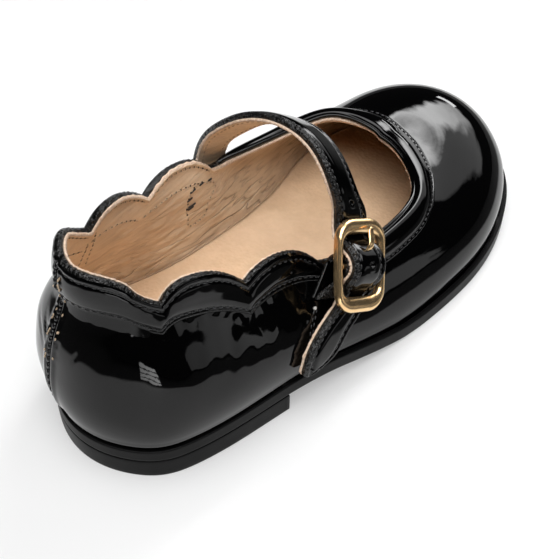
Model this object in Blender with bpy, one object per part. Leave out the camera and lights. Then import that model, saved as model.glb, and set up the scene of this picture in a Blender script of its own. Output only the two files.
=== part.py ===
# A child's right shoe: a one-strap Mary Jane in patent leather with a scalloped collar,
# a low heel and a fastened strap. It stands empty on its sole.
# +X runs to the toe, +Y to the inner (medial) side and +Z up. The origin lies on the floor,
# under the middle of the shoe. Tables are in millimetres, in the last's own frame:
# x from the back of the heel, y from the heel's middle, z from the floor.

import math

import bpy
import bmesh
import numpy as np

mm = 0.001
originX = 74.73         # where the part's origin lies in the last's frame
originY = 0.775

wall = 2.2              # upper leather with its lining
gap = 0.3               # clearance between pieces that meet
heelHeight = 6.3        # floor to the outsole's underside
heelBreast = 45.5       # x of the heel's front face
strapThickness = 2.4
strapCorner = 0.35
chapePly = 0.9
chapeWidth = 9.8
chapeCorner = 0.2
trough = 7.5            # distance from the throat's edge to the lowest line beyond it
rimDrop = 0.35          # how far the opening's edge is rounded off, down and across
rimAcross = 0.4
insoleClear = 0.5       # insole to the upper's inner wall
insoleDrop = 0.7        # how far the insole's edge is rounded off, down and in
insoleIn = 0.6

# Steps round or along each piece.
soleSteps = 96
heelSteps = 25
insoleSteps = 80
strapSteps = 72
chapeSteps = 40
prongSteps = 46
ringSteps = 18
barSteps = 12
breastSteps = 601
creaseAngle = 40        # degrees between faces that stay sharp

# A row number runs round the shoe: 0 the back, 6 the outer side, 12 the toe, 18 the inner side.
rowCount = 24

# Sole outline, and how far the upper's foot stands inside it, one row each.
outlineRows = (   # x, y, ledge
    (0.4, 0.0, 0.4), (2.0, -11.2, 0.4), (8.9, -21.0, 0.4), (18.0, -25.3, 0.4),
    (31.2, -27.5, 0.4), (49.4, -29.2, 0.6), (67.0, -31.6, 1.0), (85.0, -33.0, 1.5),
    (104.0, -32.5, 1.6), (122.0, -29.1, 1.6), (137.8, -21.0, 1.6), (146.8, -9.9, 1.6),
    (150.0, 2.8, 1.6), (147.6, 15.8, 1.6), (138.6, 27.8, 1.6), (123.2, 33.8, 1.6),
    (105.8, 33.6, 1.6), (85.0, 26.8, 1.5), (65.0, 23.2, 1.0), (45.0, 22.2, 0.6),
    (28.0, 24.4, 0.4), (15.0, 21.4, 0.4), (8.0, 16.4, 0.4), (3.5, 9.6, 0.4))

# Rounded edges of the outsole and the heel block.
soleEdge = (   # inset, share of the thickness
    (0.26, 0.0), (0.0, 0.07), (0.0, 0.5), (0.0, 0.93), (0.24, 1.0))
heelEdge = ((0.45, 0.0), (0.1, 0.5))   # inset, height

# Outsole from the side: flat under the ball, raised on the heel, with arch and toe spring.
soleProfile = (   # x, underside z, thickness
    (-5.0, heelHeight, 3.5), (44.0, heelHeight, 3.6), (50.0, 6.1, 3.7), (58.0, 5.5, 4.0),
    (67.0, 3.9, 4.1), (76.0, 1.9, 4.1), (84.0, 0.4, 4.1), (91.0, 0.0, 4.1), (109.0, 0.0, 4.2),
    (122.0, 0.7, 4.3), (130.0, 1.8, 4.4), (138.0, 3.2, 4.4), (144.5, 4.6, 4.4),
    (150.0, 6.0, 4.3), (155.0, 7.2, 4.3))

# Insole's top from the side.
insoleProfile = (   # x, top z
    (-5.0, 15.2), (10.0, 15.0), (30.0, 14.0), (50.0, 12.9), (65.0, 11.6), (78.0, 9.9),
    (92.0, 8.0), (110.0, 7.4), (130.0, 8.6), (150.0, 12.0))

# Upper's section at a row: the edge of the opening, and two handles of the curve from the
# sole up to it. bulge and rise lead out of the sole, reach and drop lead into the edge.
# sink is the depth of the trough behind the throat's rolled edge.
sectionRows = (   # row, top x, top y, top z, bulge, rise, reach, drop, sink
    (0.0, 6.2, 0.0, 50.2, 5.0, 12.6, 0.3, 13.0, 0.0),
    (2.0, 12.4, -11.4, 50.2, 4.2, 13.0, -0.2, 11.6, 0.0),
    (3.4, 19.8, -15.6, 48.0, 6.0, 15.0, 0.6, 10.0, 0.0),
    (4.7, 41.6, -18.4, 40.8, 4.6, 13.4, 2.2, 8.8, 0.0),
    (6.0, 62.8, -18.8, 32.2, 1.6, 8.5, 3.0, 6.5, 0.0),
    (7.0, 76.5, -19.6, 27.9, 2.2, 7.2, 5.8, 5.5, 0.0),
    (8.0, 95.4, -18.4, 27.7, 3.2, 8.0, 7.2, 4.0, 0.5),
    (9.0, 105.6, -12.1, 27.9, 4.2, 9.7, 12.5, 1.0, 1.4),
    (10.0, 109.8, -3.8, 28.8, 3.4, 10.6, 16.8, -0.4, 1.9),
    (12.0, 111.0, 4.5, 29.3, 5.3, 14.0, 22.0, -2.8, 2.0),
    (14.0, 110.8, 11.4, 29.8, 4.6, 12.0, 15.5, 0.2, 0.9),
    (15.0, 107.2, 20.4, 29.2, 5.6, 5.5, 8.5, 5.0, 0.2),
    (16.0, 95.9, 25.4, 27.1, 4.7, 7.6, 5.0, 2.6, 0.0),
    (17.0, 79.2, 27.3, 27.9, 2.4, 8.3, 5.4, 5.0, 0.0),
    (18.0, 66.8, 26.0, 31.2, 2.5, 9.2, -0.8, 6.8, 0.0),
    (19.2, 42.0, 20.2, 41.2, 3.9, 10.8, -0.4, 10.0, 0.0),
    (20.7, 22.3, 15.3, 47.6, 5.2, 10.5, 2.4, 11.2, 0.0),
    (22.2, 12.6, 12.4, 50.0, 8.2, 10.6, 2.3, 10.9, 0.0))

# Scallops of the collar: one across the back, two on each side, meeting in notches.
scallops = (   # from row, to row, rise
    (20.7 - rowCount, 3.4, 7.3), (3.4, 4.7, 5.5), (4.7, 6.15, 4.6),
    (18.0, 19.2, 4.6), (19.2, 20.7, 5.5))
scallopPower = 2.3

# Rows round the upper, with one at each notch.
rowSpans = (   # from row, to row, steps
    (20.7 - rowCount, 3.4, 24), (3.4, 4.7, 10), (4.7, 6.15, 10), (6.15, 18.0, 46),
    (18.0, 19.2, 9), (19.2, 20.7, 10))

# Buckle: its middle, the way across the strap, the way up the strap.
buckleMiddle = (70.0, -26.6, 32.5)
buckleAcross = (0.89, -0.17, -0.42)
buckleUp = (0.455, 0.49, 0.74)
frameHalfWidth = 7.3
frameHalfLength = 11.2
frameCorner = 4.8
sideSwell = 0.5         # how far the side bars swell outwards at their middle
sideBarWidth = 1.9
endBarWidth = 3.8
frameDepth = 2.3
frameCornerSteps = 7
frameSideSteps = 5
barRadius = 0.7
barSink = 0.8           # how far the middle bar lies below the frame's middle

# Strap's outer face where it is sewn to the inner side: rows and heights on the upper.
strapRoot = (   # rear row, rear climb, front row, front climb, lift
    (18.28, 5.0, 17.66, 4.0, 2.85), (18.22, 10.0, 17.62, 9.0, 2.95), (18.12, 15.5, 17.55, 14.0, 3.6))
# Strap's outer face from the inner side over the instep.
strapArch = (   # rear x, rear y, rear z, front x, front y, front z
    (66.0, 30.7, 28.0, 75.6, 31.3, 25.6), (67.1, 28.7, 38.0, 76.9, 29.1, 33.4),
    (68.0, 22.2, 47.6, 78.4, 22.8, 41.0), (69.6, 14.4, 54.6, 80.0, 15.4, 47.4),
    (71.6, 6.0, 58.2, 81.1, 7.0, 51.0), (72.6, -2.0, 58.6, 81.7, -1.0, 51.9),
    (72.3, -10.0, 56.0, 80.7, -10.3, 49.3), (70.7, -16.8, 49.2, 78.5, -18.0, 43.8))
# Strap's outer face through the buckle, in the buckle's directions from its middle.
strapThroughBuckle = (   # rear across, rear up, front across, front up, out
    (-5.5, 11.0, 4.4, 11.0, -1.7), (-5.2, 7.7, 4.7, 7.7, -1.65), (-5.05, 4.9, 5.05, 4.9, 1.1),
    (-5.05, 2.5, 5.05, 2.5, 3.4), (-5.05, 0.0, 5.05, 0.0, 4.1), (-5.05, -2.5, 5.05, -2.5, 3.4),
    (-5.05, -4.9, 5.05, -4.9, 1.1), (-4.0, -7.85, 4.6, -8.2, -1.6), (-5.25, -10.1, 2.75, -11.9, -2.1))
# Strap's tail on the outer side.
strapTail = (   # rear row, rear climb, front row, front climb, lift
    (5.37, 13.2, 5.8, 9.2, 3.6), (5.05, 10.2, 5.52, 5.9, 3.2), (4.88, 4.6, 5.22, 2.35, 3.1))

# Chape: the folded loop that holds the buckle, in the buckle's own directions from its
# middle bar. along is how far the strip's middle has run to the rear.
chapePath = (   # up, out, along
    (-7.5, -5.25, 4.9), (-4.2, -5.25, 3.0), (-1.0, -5.3, 1.2), (1.2, -4.9, 0.2), (2.3, -3.2, 0.0),
    (2.3, -1.2, 0.0), (1.4, 0.7, 0.0), (0.0, 1.5, 0.0), (-1.4, 0.8, 0.0), (-2.8, -1.2, 0.0),
    (-4.5, -3.3, 0.6), (-6.2, -4.1, 3.2), (-7.8, -4.1, 4.9))

# Prong, in the buckle's directions from the middle bar.
prongWidth = 1.7
prongThickness = 0.8
prongCorner = 0.25
ringClearance = 0.2     # between the prong's ring and the middle bar
prongPath = (   # up, out, aside towards the toe
    (1.6, 1.5, 0.1), (2.6, 2.3, 0.2), (3.6, 3.1, 0.3), (4.9, 3.8, 0.6), (6.3, 3.7, 0.9),
    (7.8, 3.1, 1.3), (9.2, 2.8, 1.7))
ringTurns = (-235, 40)  # degrees round the middle bar where the prong's ring starts and ends
prongHole = (3.3, 2.1, 2.7)   # middle up and out in the strap's wall, width
prongHoleHalf = (1.45, 2.6)   # half of its length and of its depth
prongHoleTurn = -45           # degrees
chapeSlot = (1.1, 0.5)        # middle up and out of the slot the prong turns in
chapeSlotHalf = (1.5, 3.4, 2.6)


def splineBends(knots, values, closed):
    """second derivatives of the cubic spline through values at knots"""
    count = len(knots)
    step = np.diff(knots)
    matrix = np.zeros((count, count))
    right = np.zeros((count, values.shape[1]))
    for i in range(1, count - 1):
        matrix[i, i - 1:i + 2] = step[i - 1], 2 * (step[i - 1] + step[i]), step[i]
        right[i] = 6 * ((values[i + 1] - values[i]) / step[i] - (values[i] - values[i - 1]) / step[i - 1])
    matrix[0, 0] = matrix[-1, -1] = 1
    if closed:
        matrix[0, :2] = 2 * (step[-1] + step[0]), step[0]
        matrix[0, -2] = step[-1]
        right[0] = 6 * ((values[1] - values[0]) / step[0] - (values[0] - values[-2]) / step[-1])
        matrix[-1, 0] = -1
    return np.linalg.solve(matrix, right)


class Curve:
    """smooth curve through the rows of a table, at given knots"""

    def __init__(self, knots, values, closed=False):
        self.knots = np.asarray(knots, float)
        self.values = np.asarray(values, float)
        self.bends = splineBends(self.knots, self.values, closed)
        self.closed = closed

    def __call__(self, at):
        at = np.asarray(at, float)
        if self.closed:
            at = self.knots[0] + np.mod(at - self.knots[0], self.knots[-1] - self.knots[0])
        i = np.clip(np.searchsorted(self.knots, at, side="right") - 1, 0, len(self.knots) - 2)
        step = (self.knots[i + 1] - self.knots[i])[..., None]
        a = (self.knots[i + 1] - at)[..., None] / step
        b = 1 - a
        bend = ((a ** 3 - a) * self.bends[i] + (b ** 3 - b) * self.bends[i + 1]) * step ** 2 / 6
        return a * self.values[i] + b * self.values[i + 1] + bend


def closedCurve(rows, knots):
    table = np.vstack([rows, rows[:1]])
    return Curve(np.append(knots, rowCount), table, closed=True)


def openCurve(points):
    points = np.asarray(points, float)
    steps = np.linalg.norm(np.diff(points, axis=0), axis=1)
    return Curve(np.append(0, np.cumsum(steps)), points)


def profileHeight(table, column, x):
    """smooth height along a profile table, without overshoot between its rows"""
    table = np.array(table)
    xs = table[:, 0]
    ys = table[:, column]
    step = np.diff(xs)
    slope = np.diff(ys) / step
    tangent = np.zeros(len(xs))
    for i in range(1, len(xs) - 1):
        if slope[i - 1] * slope[i] > 0:
            left = 2 * step[i] + step[i - 1]
            right = step[i] + 2 * step[i - 1]
            tangent[i] = (left + right) / (left / slope[i - 1] + right / slope[i])
    tangent[0] = slope[0]
    tangent[-1] = slope[-1]
    i = np.clip(np.searchsorted(xs, x, side="right") - 1, 0, len(xs) - 2)
    u = (x - xs[i]) / step[i]
    start = (2 * u ** 3 - 3 * u ** 2 + 1) * ys[i] + (u ** 3 - 2 * u ** 2 + u) * step[i] * tangent[i]
    return start + (3 * u ** 2 - 2 * u ** 3) * ys[i + 1] + (u ** 3 - u ** 2) * step[i] * tangent[i + 1]


outlineCurve = closedCurve(np.array(outlineRows), np.arange(rowCount))
sectionTable = np.array(sectionRows)
sectionCurve = closedCurve(sectionTable[:, 1:], sectionTable[:, 0])


def underside(x):
    return profileHeight(soleProfile, 1, x)


def soleTop(x):
    return underside(x) + profileHeight(soleProfile, 2, x)


def unit(vector):
    vector = np.asarray(vector, float)
    return vector / np.linalg.norm(vector, axis=-1, keepdims=True)


def outwardAt(row):
    """level direction out of the outline"""
    along = outlineCurve(row + 0.02)[..., :2] - outlineCurve(row - 0.02)[..., :2]
    return unit(np.stack([along[..., 1], -along[..., 0], 0 * along[..., 0]], -1))


def scallopRise(row):
    """height of the collar's edge above the line through its notches"""
    row = np.mod(row, rowCount)
    rise = np.zeros_like(row)
    for start, end, height in scallops:
        place = np.where(row > end, row - rowCount, row) if start < 0 else row
        share = np.clip((place - start) / (end - start), 0, 1)
        rise += height * (1 - np.abs(2 * share - 1) ** scallopPower)
    return rise


def upperCurve(row, t):
    """outer face of the upper: t is 0 at the sole and 1 at the line of the notches"""
    row, t = np.broadcast_arrays(np.asarray(row, float), np.asarray(t, float))
    edge = outlineCurve(row)
    out = outwardAt(row)
    foot = edge[..., :2] - out[..., :2] * edge[..., 2:3]
    foot = np.concatenate([foot, (soleTop(foot[..., 0]) + gap)[..., None]], -1)
    section = sectionCurve(row)
    top = section[..., :3]
    bulge, rise, reach, drop, sink = (section[..., i:i + 1] for i in range(3, 8))
    up = np.array([0, 0, 1.0])
    low = foot + out * bulge + up * rise
    high = top + out * reach - up * drop
    s = t[..., None]
    q = 1 - s
    point = q ** 3 * foot + 3 * q * q * s * low + 3 * q * s * s * high + s ** 3 * top
    away = np.linalg.norm(point - top, axis=-1, keepdims=True) / trough
    return point - up * np.maximum(sink, 0) * (away * np.exp(1 - away)) ** 2


climbSteps = np.linspace(0, 1, 41)


def upperPoint(row, climb):
    """outer face of the upper at a distance climbed from the sole, on past the notch line"""
    row = np.atleast_1d(np.asarray(row, float))
    climb = np.broadcast_to(np.asarray(climb, float), row.shape)
    samples = upperCurve(row[:, None], climbSteps[None, :])
    lengths = np.linalg.norm(np.diff(samples, axis=1), axis=2)
    lengths = np.concatenate([np.zeros((len(row), 1)), np.cumsum(lengths, axis=1)], 1)
    t = np.array([np.interp(c, line, climbSteps) for c, line in zip(climb, lengths)])
    last = unit(samples[:, -1] - samples[:, -2])
    return upperCurve(row, t) + last * np.maximum(climb - lengths[:, -1], 0)[:, None]


def climbToEdge(row):
    """distance from the sole to the collar's edge"""
    samples = upperCurve(np.asarray(row)[:, None], climbSteps[None, :])
    return np.linalg.norm(np.diff(samples, axis=1), axis=2).sum(axis=1) + scallopRise(row)


def upperNormal(row, climb):
    row = np.atleast_1d(np.asarray(row, float))
    climb = np.maximum(np.broadcast_to(np.asarray(climb, float), row.shape), 0.3)
    along = upperPoint(row + 0.02, climb) - upperPoint(row - 0.02, climb)
    rising = upperPoint(row, climb + 0.3) - upperPoint(row, climb - 0.3)
    return unit(np.cross(along, rising))


def onUpper(row, climb, lift):
    return upperPoint(row, climb) + upperNormal(row, climb) * lift


def material(name, colour, roughness, metallic=0.0):
    made = bpy.data.materials.new(name)
    made.use_nodes = True
    shader = made.node_tree.nodes["Principled BSDF"]
    shader.inputs["Base Color"].default_value = (*colour, 1.0)
    shader.inputs["Roughness"].default_value = roughness
    shader.inputs["Metallic"].default_value = metallic
    made.diffuse_color = (*colour, 1.0)
    return made


def addMesh(name, points, faces, finish):
    """a named object from points in the last's frame, in millimetres"""
    points = (np.asarray(points, float) - (originX, originY, 0)) * mm
    mesh = bpy.data.meshes.new(name)
    mesh.from_pydata(points.tolist(), [], faces)
    work = bmesh.new()
    work.from_mesh(mesh)
    bmesh.ops.recalc_face_normals(work, faces=work.faces)
    work.to_mesh(mesh)
    work.free()
    mesh.materials.append(finish)
    mesh.shade_smooth()
    mesh.set_sharp_from_angle(angle=math.radians(creaseAngle))
    made = bpy.data.objects.new(name, mesh)
    bpy.context.collection.objects.link(made)
    return made


def tubeFaces(levels, count, closedWay, closedRound=True):
    """quads between rings of points, and from the last ring to the first when closed"""
    faces = []
    for k in range(levels if closedWay else levels - 1):
        low = k * count
        high = (k + 1) % levels * count
        for i in range(count if closedRound else count - 1):
            j = (i + 1) % count
            faces.append((low + i, low + j, high + j, high + i))
    return faces


def ladderFaces(base, count):
    """a cap across a ring whose points i and count - i lie opposite each other"""
    faces = [(base, base + 1, base + count - 1)]
    for i in range(1, count // 2 - 1):
        faces.append((base + i, base + i + 1, base + count - i - 1, base + count - i))
    half = base + count // 2
    faces.append((half - 1, half, half + 1))
    return faces


def stack(rings):
    return np.concatenate([np.asarray(ring) for ring in rings])


def levelRing(row, inset, heightAt):
    """points round the sole's outline, moved in, at a height worked out from x"""
    edge = outlineCurve(row)
    points = edge[:, :2] - outwardAt(row)[:, :2] * inset
    return np.column_stack([points, heightAt(points[:, 0])])


def makeOutsole(finish):
    row = np.arange(soleSteps) * rowCount / soleSteps
    rings = []
    for inset, share in soleEdge:
        def height(x, share=share):
            return underside(x) * (1 - share) + soleTop(x) * share
        rings.append(levelRing(row, inset, height))
    faces = tubeFaces(len(rings), soleSteps, False)
    faces += ladderFaces(0, soleSteps) + ladderFaces((len(rings) - 1) * soleSteps, soleSteps)
    return addMesh("outsole", stack(rings), faces, finish)


def breastRows():
    """the rows where the outline crosses the heel's front face, outer side and inner side"""
    found = []
    for low, high in ((3.0, 6.0), (18.0, 21.0)):
        rows = np.linspace(low, high, breastSteps)
        found.append(rows[np.argmin(np.abs(outlineCurve(rows)[:, 0] - heelBreast))])
    return found


def makeHeelBlock(finish):
    outer, inner = breastRows()
    share = np.arange(heelSteps + 1) / heelSteps
    row = np.concatenate([outer * share, (inner - rowCount) * share[:0:-1]])

    def seat(x):
        return underside(x) - gap
    rings = []
    for inset, level in heelEdge:
        rings.append(levelRing(row, inset, lambda x: 0 * x + level))
    rings.append(levelRing(row, heelEdge[-1][0], seat))
    for ring in rings:
        ring[:, 0] = np.minimum(ring[:, 0], heelBreast)
    faces = tubeFaces(len(rings), len(row), False)
    for base in (0, (len(rings) - 1) * len(row)):
        faces.append((base, base + 1, base + len(row) - 1))
        for i in range(1, heelSteps):
            faces.append((base + i, base + i + 1, base + len(row) - i - 1, base + len(row) - i))
    return addMesh("heel_block", stack(rings), faces, finish)


def collarRows():
    rows = [np.linspace(start, end, steps, endpoint=False) for start, end, steps in rowSpans]
    return np.concatenate(rows)


wallShares = np.array([0.0, 0.05, 0.11, 0.19, 0.28, 0.38, 0.48, 0.58, 0.68, 0.78, 0.87, 0.94])


def innerWall(row):
    """rings up the upper's inner wall, from its foot"""
    full = climbToEdge(row)
    rings = [onUpper(row, full * share, -wall) for share in wallShares]
    foot = upperPoint(row, 0) - outwardAt(row) * wall
    foot[:, 2] = soleTop(foot[:, 0]) + gap
    rings[0] = foot
    return rings


def makeUpper(finish):
    row = collarRows()
    full = climbToEdge(row)
    outside = [onUpper(row, full * share, 0.0) for share in wallShares]
    rim = [onUpper(row, full - rimDrop, 0.0), onUpper(row, full, -rimAcross),
           onUpper(row, full, rimAcross - wall), onUpper(row, full - rimDrop, -wall)]
    rings = outside + rim + innerWall(row)[::-1]
    faces = tubeFaces(len(rings), len(row), True)
    return addMesh("upper", stack(rings), faces, finish)


def innerWallAt(row, heightAt):
    """points on the upper's inner wall at a height worked out from x"""
    lines = np.stack(innerWall(row), 1)
    points = []
    for line in lines:
        level = float(heightAt(line[1, 0]))
        points.append([np.interp(level, line[:, 2], line[:, axis]) for axis in (0, 1)])
    return np.array(points)


def insoleTop(x):
    return profileHeight(insoleProfile, 1, x)


def makeInsole(finish):
    row = np.arange(insoleSteps) * rowCount / insoleSteps
    out = outwardAt(row)[:, :2]

    def bottom(x):
        return soleTop(x) + gap
    rings = []
    for inset, heightAt, drop in ((insoleClear, bottom, 0.0), (insoleClear, insoleTop, insoleDrop),
                                  (insoleClear + insoleIn, insoleTop, 0.0)):
        points = innerWallAt(row, heightAt) - out * inset
        rings.append(np.column_stack([points, heightAt(points[:, 0]) - drop]))
    faces = tubeFaces(len(rings), insoleSteps, False)
    faces += ladderFaces(0, insoleSteps) + ladderFaces((len(rings) - 1) * insoleSteps, insoleSteps)
    return addMesh("insole", stack(rings), faces, finish)


def buckleAxes():
    up = unit(buckleUp)
    across = unit(np.array(buckleAcross) - np.dot(buckleAcross, up) * up)
    return across, up, np.cross(across, up)


def inBuckle(across, up, out, sink=0.0):
    """a point given in the buckle's directions from its middle"""
    a, u, o = buckleAxes()
    flat = np.broadcast_arrays(*(np.asarray(v, float)[..., None] for v in (across, up, np.add(out, -sink))))
    return np.array(buckleMiddle) + flat[0] * a + flat[1] * u + flat[2] * o


def strapFace():
    """rear and front edges of the strap's outer face, from the root to the tail"""
    edges = []
    for rearRow, rearClimb, frontRow, frontClimb, lift in strapRoot:
        rearPoint = onUpper(rearRow, rearClimb, lift)[0]
        frontPoint = onUpper(frontRow, frontClimb, lift)[0]
        edges.append(np.concatenate([rearPoint, frontPoint]))
    edges += [np.array(line) for line in strapArch]
    for rearAcross, rearUp, frontAcross, frontUp, out in strapThroughBuckle:
        rearPoint = inBuckle(rearAcross, rearUp, out)
        frontPoint = inBuckle(frontAcross, frontUp, out)
        edges.append(np.concatenate([rearPoint, frontPoint]))
    for rearRow, rearClimb, frontRow, frontClimb, lift in strapTail:
        rearPoint = onUpper(rearRow, rearClimb, lift)[0]
        frontPoint = onUpper(frontRow, frontClimb, lift)[0]
        edges.append(np.concatenate([rearPoint, frontPoint]))
    return openCurve(edges)


def sweep(name, centres, across, out, sections, finish):
    """a band whose sections (across, out) are carried along the centres, closed at both ends"""
    rings = []
    for centre, a, o, section in zip(centres, across, out, sections):
        rings.append([centre + a * x + o * y for x, y in section])
    count = len(rings[0])
    faces = tubeFaces(len(rings), count, False)
    faces += [tuple(range(count)), tuple((len(rings) - 1) * count + i for i in range(count))]
    return addMesh(name, stack(rings), faces, finish)


def bandSection(width, thickness, corner):
    """outline of a flat band, its outer face at zero"""
    half = width / 2
    return ((-half + corner, 0), (half - corner, 0), (half, -corner), (half, -thickness + corner),
            (half - corner, -thickness), (-half + corner, -thickness), (-half, -thickness + corner),
            (-half, -corner))


def cutAway(target, cutter):
    cut = target.modifiers.new("cut", "BOOLEAN")
    cut.operation = "DIFFERENCE"
    cut.solver = "EXACT"
    cut.object = cutter
    cutter.hide_render = True
    cutter.display_type = "WIRE"


def blockInBuckle(name, middle, half, turn, finish):
    """a plain block in the buckle's directions, turned about the way across"""
    corners = []
    for a in (-half[0], half[0]):
        for u in (-half[1], half[1]):
            for o in (-half[2], half[2]):
                up = middle[0] + u * math.cos(turn) - o * math.sin(turn)
                out = middle[1] + u * math.sin(turn) + o * math.cos(turn)
                corners.append(inBuckle(a, up, out, barSink))
    faces = [(0, 1, 3, 2), (4, 5, 7, 6), (0, 1, 5, 4), (2, 3, 7, 6), (0, 2, 6, 4), (1, 3, 7, 5)]
    return addMesh(name, corners, faces, finish)


def makeStrap(finish):
    face = strapFace()
    at = np.linspace(0, face.knots[-1], strapSteps)
    edges = face(at)
    rear = edges[:, :3]
    front = edges[:, 3:]
    centres = (rear + front) / 2
    along = unit(np.gradient(centres, axis=0))
    across = unit(front - rear)
    out = unit(np.cross(across, -along))
    sections = [bandSection(np.linalg.norm(f - r), strapThickness, strapCorner) for r, f in zip(rear, front)]
    strap = sweep("strap", centres, across, out, sections, finish)
    up, out, width = prongHole
    half = (width / 2, *prongHoleHalf)
    slot = blockInBuckle("prong_hole_cutter", (up, out), half, math.radians(prongHoleTurn), finish)
    cutAway(strap, slot)
    return strap


def makeChape(finish):
    path = openCurve(chapePath)
    at = np.linspace(0, path.knots[-1], chapeSteps)
    up, out, along = path(at).T
    centres = inBuckle(-along, up, out, barSink)
    a, u, o = buckleAxes()
    slopes = np.gradient(np.stack([up, out], 1), axis=0)
    slopes = unit(slopes)
    outward = -slopes[:, 1:2] * u + slopes[:, 0:1] * o
    section = [(x, y + chapePly / 2) for x, y in bandSection(chapeWidth, chapePly, chapeCorner)]
    chape = sweep("chape", centres, [a] * len(at), outward, [section] * len(at), finish)
    slot = blockInBuckle("chape_slot_cutter", chapeSlot, chapeSlotHalf, 0.0, finish)
    cutAway(chape, slot)
    return chape


def roundedRectangle(halfWidth, halfLength, radius):
    """points round a rectangle with round corners, as many on any size of it"""
    points = []
    for turn, (sx, sy) in enumerate(((1, 1), (-1, 1), (-1, -1), (1, -1))):
        for step in range(frameCornerSteps + 1):
            angle = math.pi / 2 * (turn + step / frameCornerSteps)
            points.append((sx * (halfWidth - radius) + radius * math.cos(angle),
                           sy * (halfLength - radius) + radius * math.sin(angle)))
        start = np.array(points[-1])
        end = start * ((-1, 1) if turn % 2 == 0 else (1, -1))
        points += [tuple(start + (end - start) * step / frameSideSteps) for step in range(1, frameSideSteps)]
    points = np.array(points)
    swell = sideSwell * (1 - (points[:, 1] / frameHalfLength) ** 2)
    points[:, 0] += swell * points[:, 0] / halfWidth
    return points


def makeBuckleFrame(finish):
    outer = roundedRectangle(frameHalfWidth, frameHalfLength, frameCorner)
    inner = roundedRectangle(frameHalfWidth - sideBarWidth, frameHalfLength - endBarWidth, frameCorner / 2)
    half = frameDepth / 2
    section = (   # share from the inner edge, out
        (0.12, -half), (0.0, -half * 0.6), (0.0, half * 0.1), (0.3, half * 0.85), (0.62, half),
        (0.9, half * 0.6), (1.0, 0.0), (1.0, -half * 0.6), (0.88, -half))
    rings = []
    for share, out in section:
        flat = inner + (outer - inner) * share
        rings.append(inBuckle(flat[:, 0], flat[:, 1], np.full(len(flat), out)))
    faces = tubeFaces(len(rings), len(outer), True)
    frame = addMesh("buckle_frame", stack(rings), faces, finish)
    reach = frameHalfWidth - sideBarWidth / 2
    a, u, o = buckleAxes()
    angles = [2 * math.pi * i / barSteps for i in range(barSteps)]
    section = [(barRadius * math.cos(angle), barRadius * math.sin(angle)) for angle in angles]
    ends = [inBuckle(side * reach, 0, 0, barSink) for side in (-1, 1)]
    bar = sweep("middle_bar", ends, [u, u], [o, o], [section, section], finish)
    join = frame.modifiers.new("middle bar", "BOOLEAN")
    join.operation = "UNION"
    join.solver = "EXACT"
    join.object = bar
    bar.hide_render = True
    bar.display_type = "WIRE"
    return frame


def makeProng(finish):
    ringRadius = barRadius + ringClearance + prongThickness / 2
    turns = np.radians(np.linspace(*ringTurns, ringSteps))
    ring = [(ringRadius * math.cos(turn), ringRadius * math.sin(turn), 0.0) for turn in turns]
    path = openCurve(ring + list(prongPath))
    at = np.linspace(0, path.knots[-1], prongSteps)
    up, out, aside = path(at).T
    a, u, o = buckleAxes()
    centres = inBuckle(aside, up, out, barSink)
    slopes = unit(np.gradient(np.stack([up, out], 1), axis=0))
    outward = -slopes[:, 1:2] * u + slopes[:, 0:1] * o
    section = [(x, y + prongThickness / 2) for x, y in bandSection(prongWidth, prongThickness, prongCorner)]
    return sweep("buckle_prong", centres, [a] * len(at), outward, [section] * len(at), finish)


def clearScene():
    for item in list(bpy.data.objects):
        bpy.data.objects.remove(item, do_unlink=True)


def build():
    clearScene()
    patent = material("black_patent_leather", (0.012, 0.012, 0.013), 0.12)
    rubber = material("black_rubber", (0.02, 0.02, 0.021), 0.5)
    tan = material("tan_leather", (0.68, 0.47, 0.31), 0.6)
    brass = material("polished_brass", (0.83, 0.62, 0.3), 0.2, 1.0)
    makeOutsole(rubber)
    makeHeelBlock(rubber)
    makeUpper(patent)
    makeInsole(tan)
    makeStrap(patent)
    makeChape(patent)
    makeBuckleFrame(brass)
    makeProng(brass)


build()
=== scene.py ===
# A child's right Mary Jane in black patent leather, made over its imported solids.
# Work is in millimetres in the last's own frame: x from the back of the heel, y from the
# heel's middle to the inner side, z from the floor.
import math

import bpy
import bmesh
import numpy as np
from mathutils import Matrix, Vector


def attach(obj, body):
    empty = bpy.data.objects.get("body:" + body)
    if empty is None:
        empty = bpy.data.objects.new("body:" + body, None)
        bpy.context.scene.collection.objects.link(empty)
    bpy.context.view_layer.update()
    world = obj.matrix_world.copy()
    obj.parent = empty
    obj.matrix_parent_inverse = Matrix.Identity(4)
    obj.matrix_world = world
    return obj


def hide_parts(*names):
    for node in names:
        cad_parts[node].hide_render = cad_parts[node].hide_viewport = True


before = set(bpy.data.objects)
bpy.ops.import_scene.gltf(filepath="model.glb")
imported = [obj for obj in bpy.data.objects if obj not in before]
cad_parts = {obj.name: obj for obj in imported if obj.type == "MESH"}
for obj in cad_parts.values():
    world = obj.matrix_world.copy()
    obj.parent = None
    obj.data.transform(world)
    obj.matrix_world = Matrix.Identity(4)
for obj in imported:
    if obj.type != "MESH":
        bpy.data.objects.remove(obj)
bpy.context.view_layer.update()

lastFrame = {"originX": 74.73, "originY": 0.775, "mm": 0.001, "rows": 24}   # as the solids have it

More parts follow.
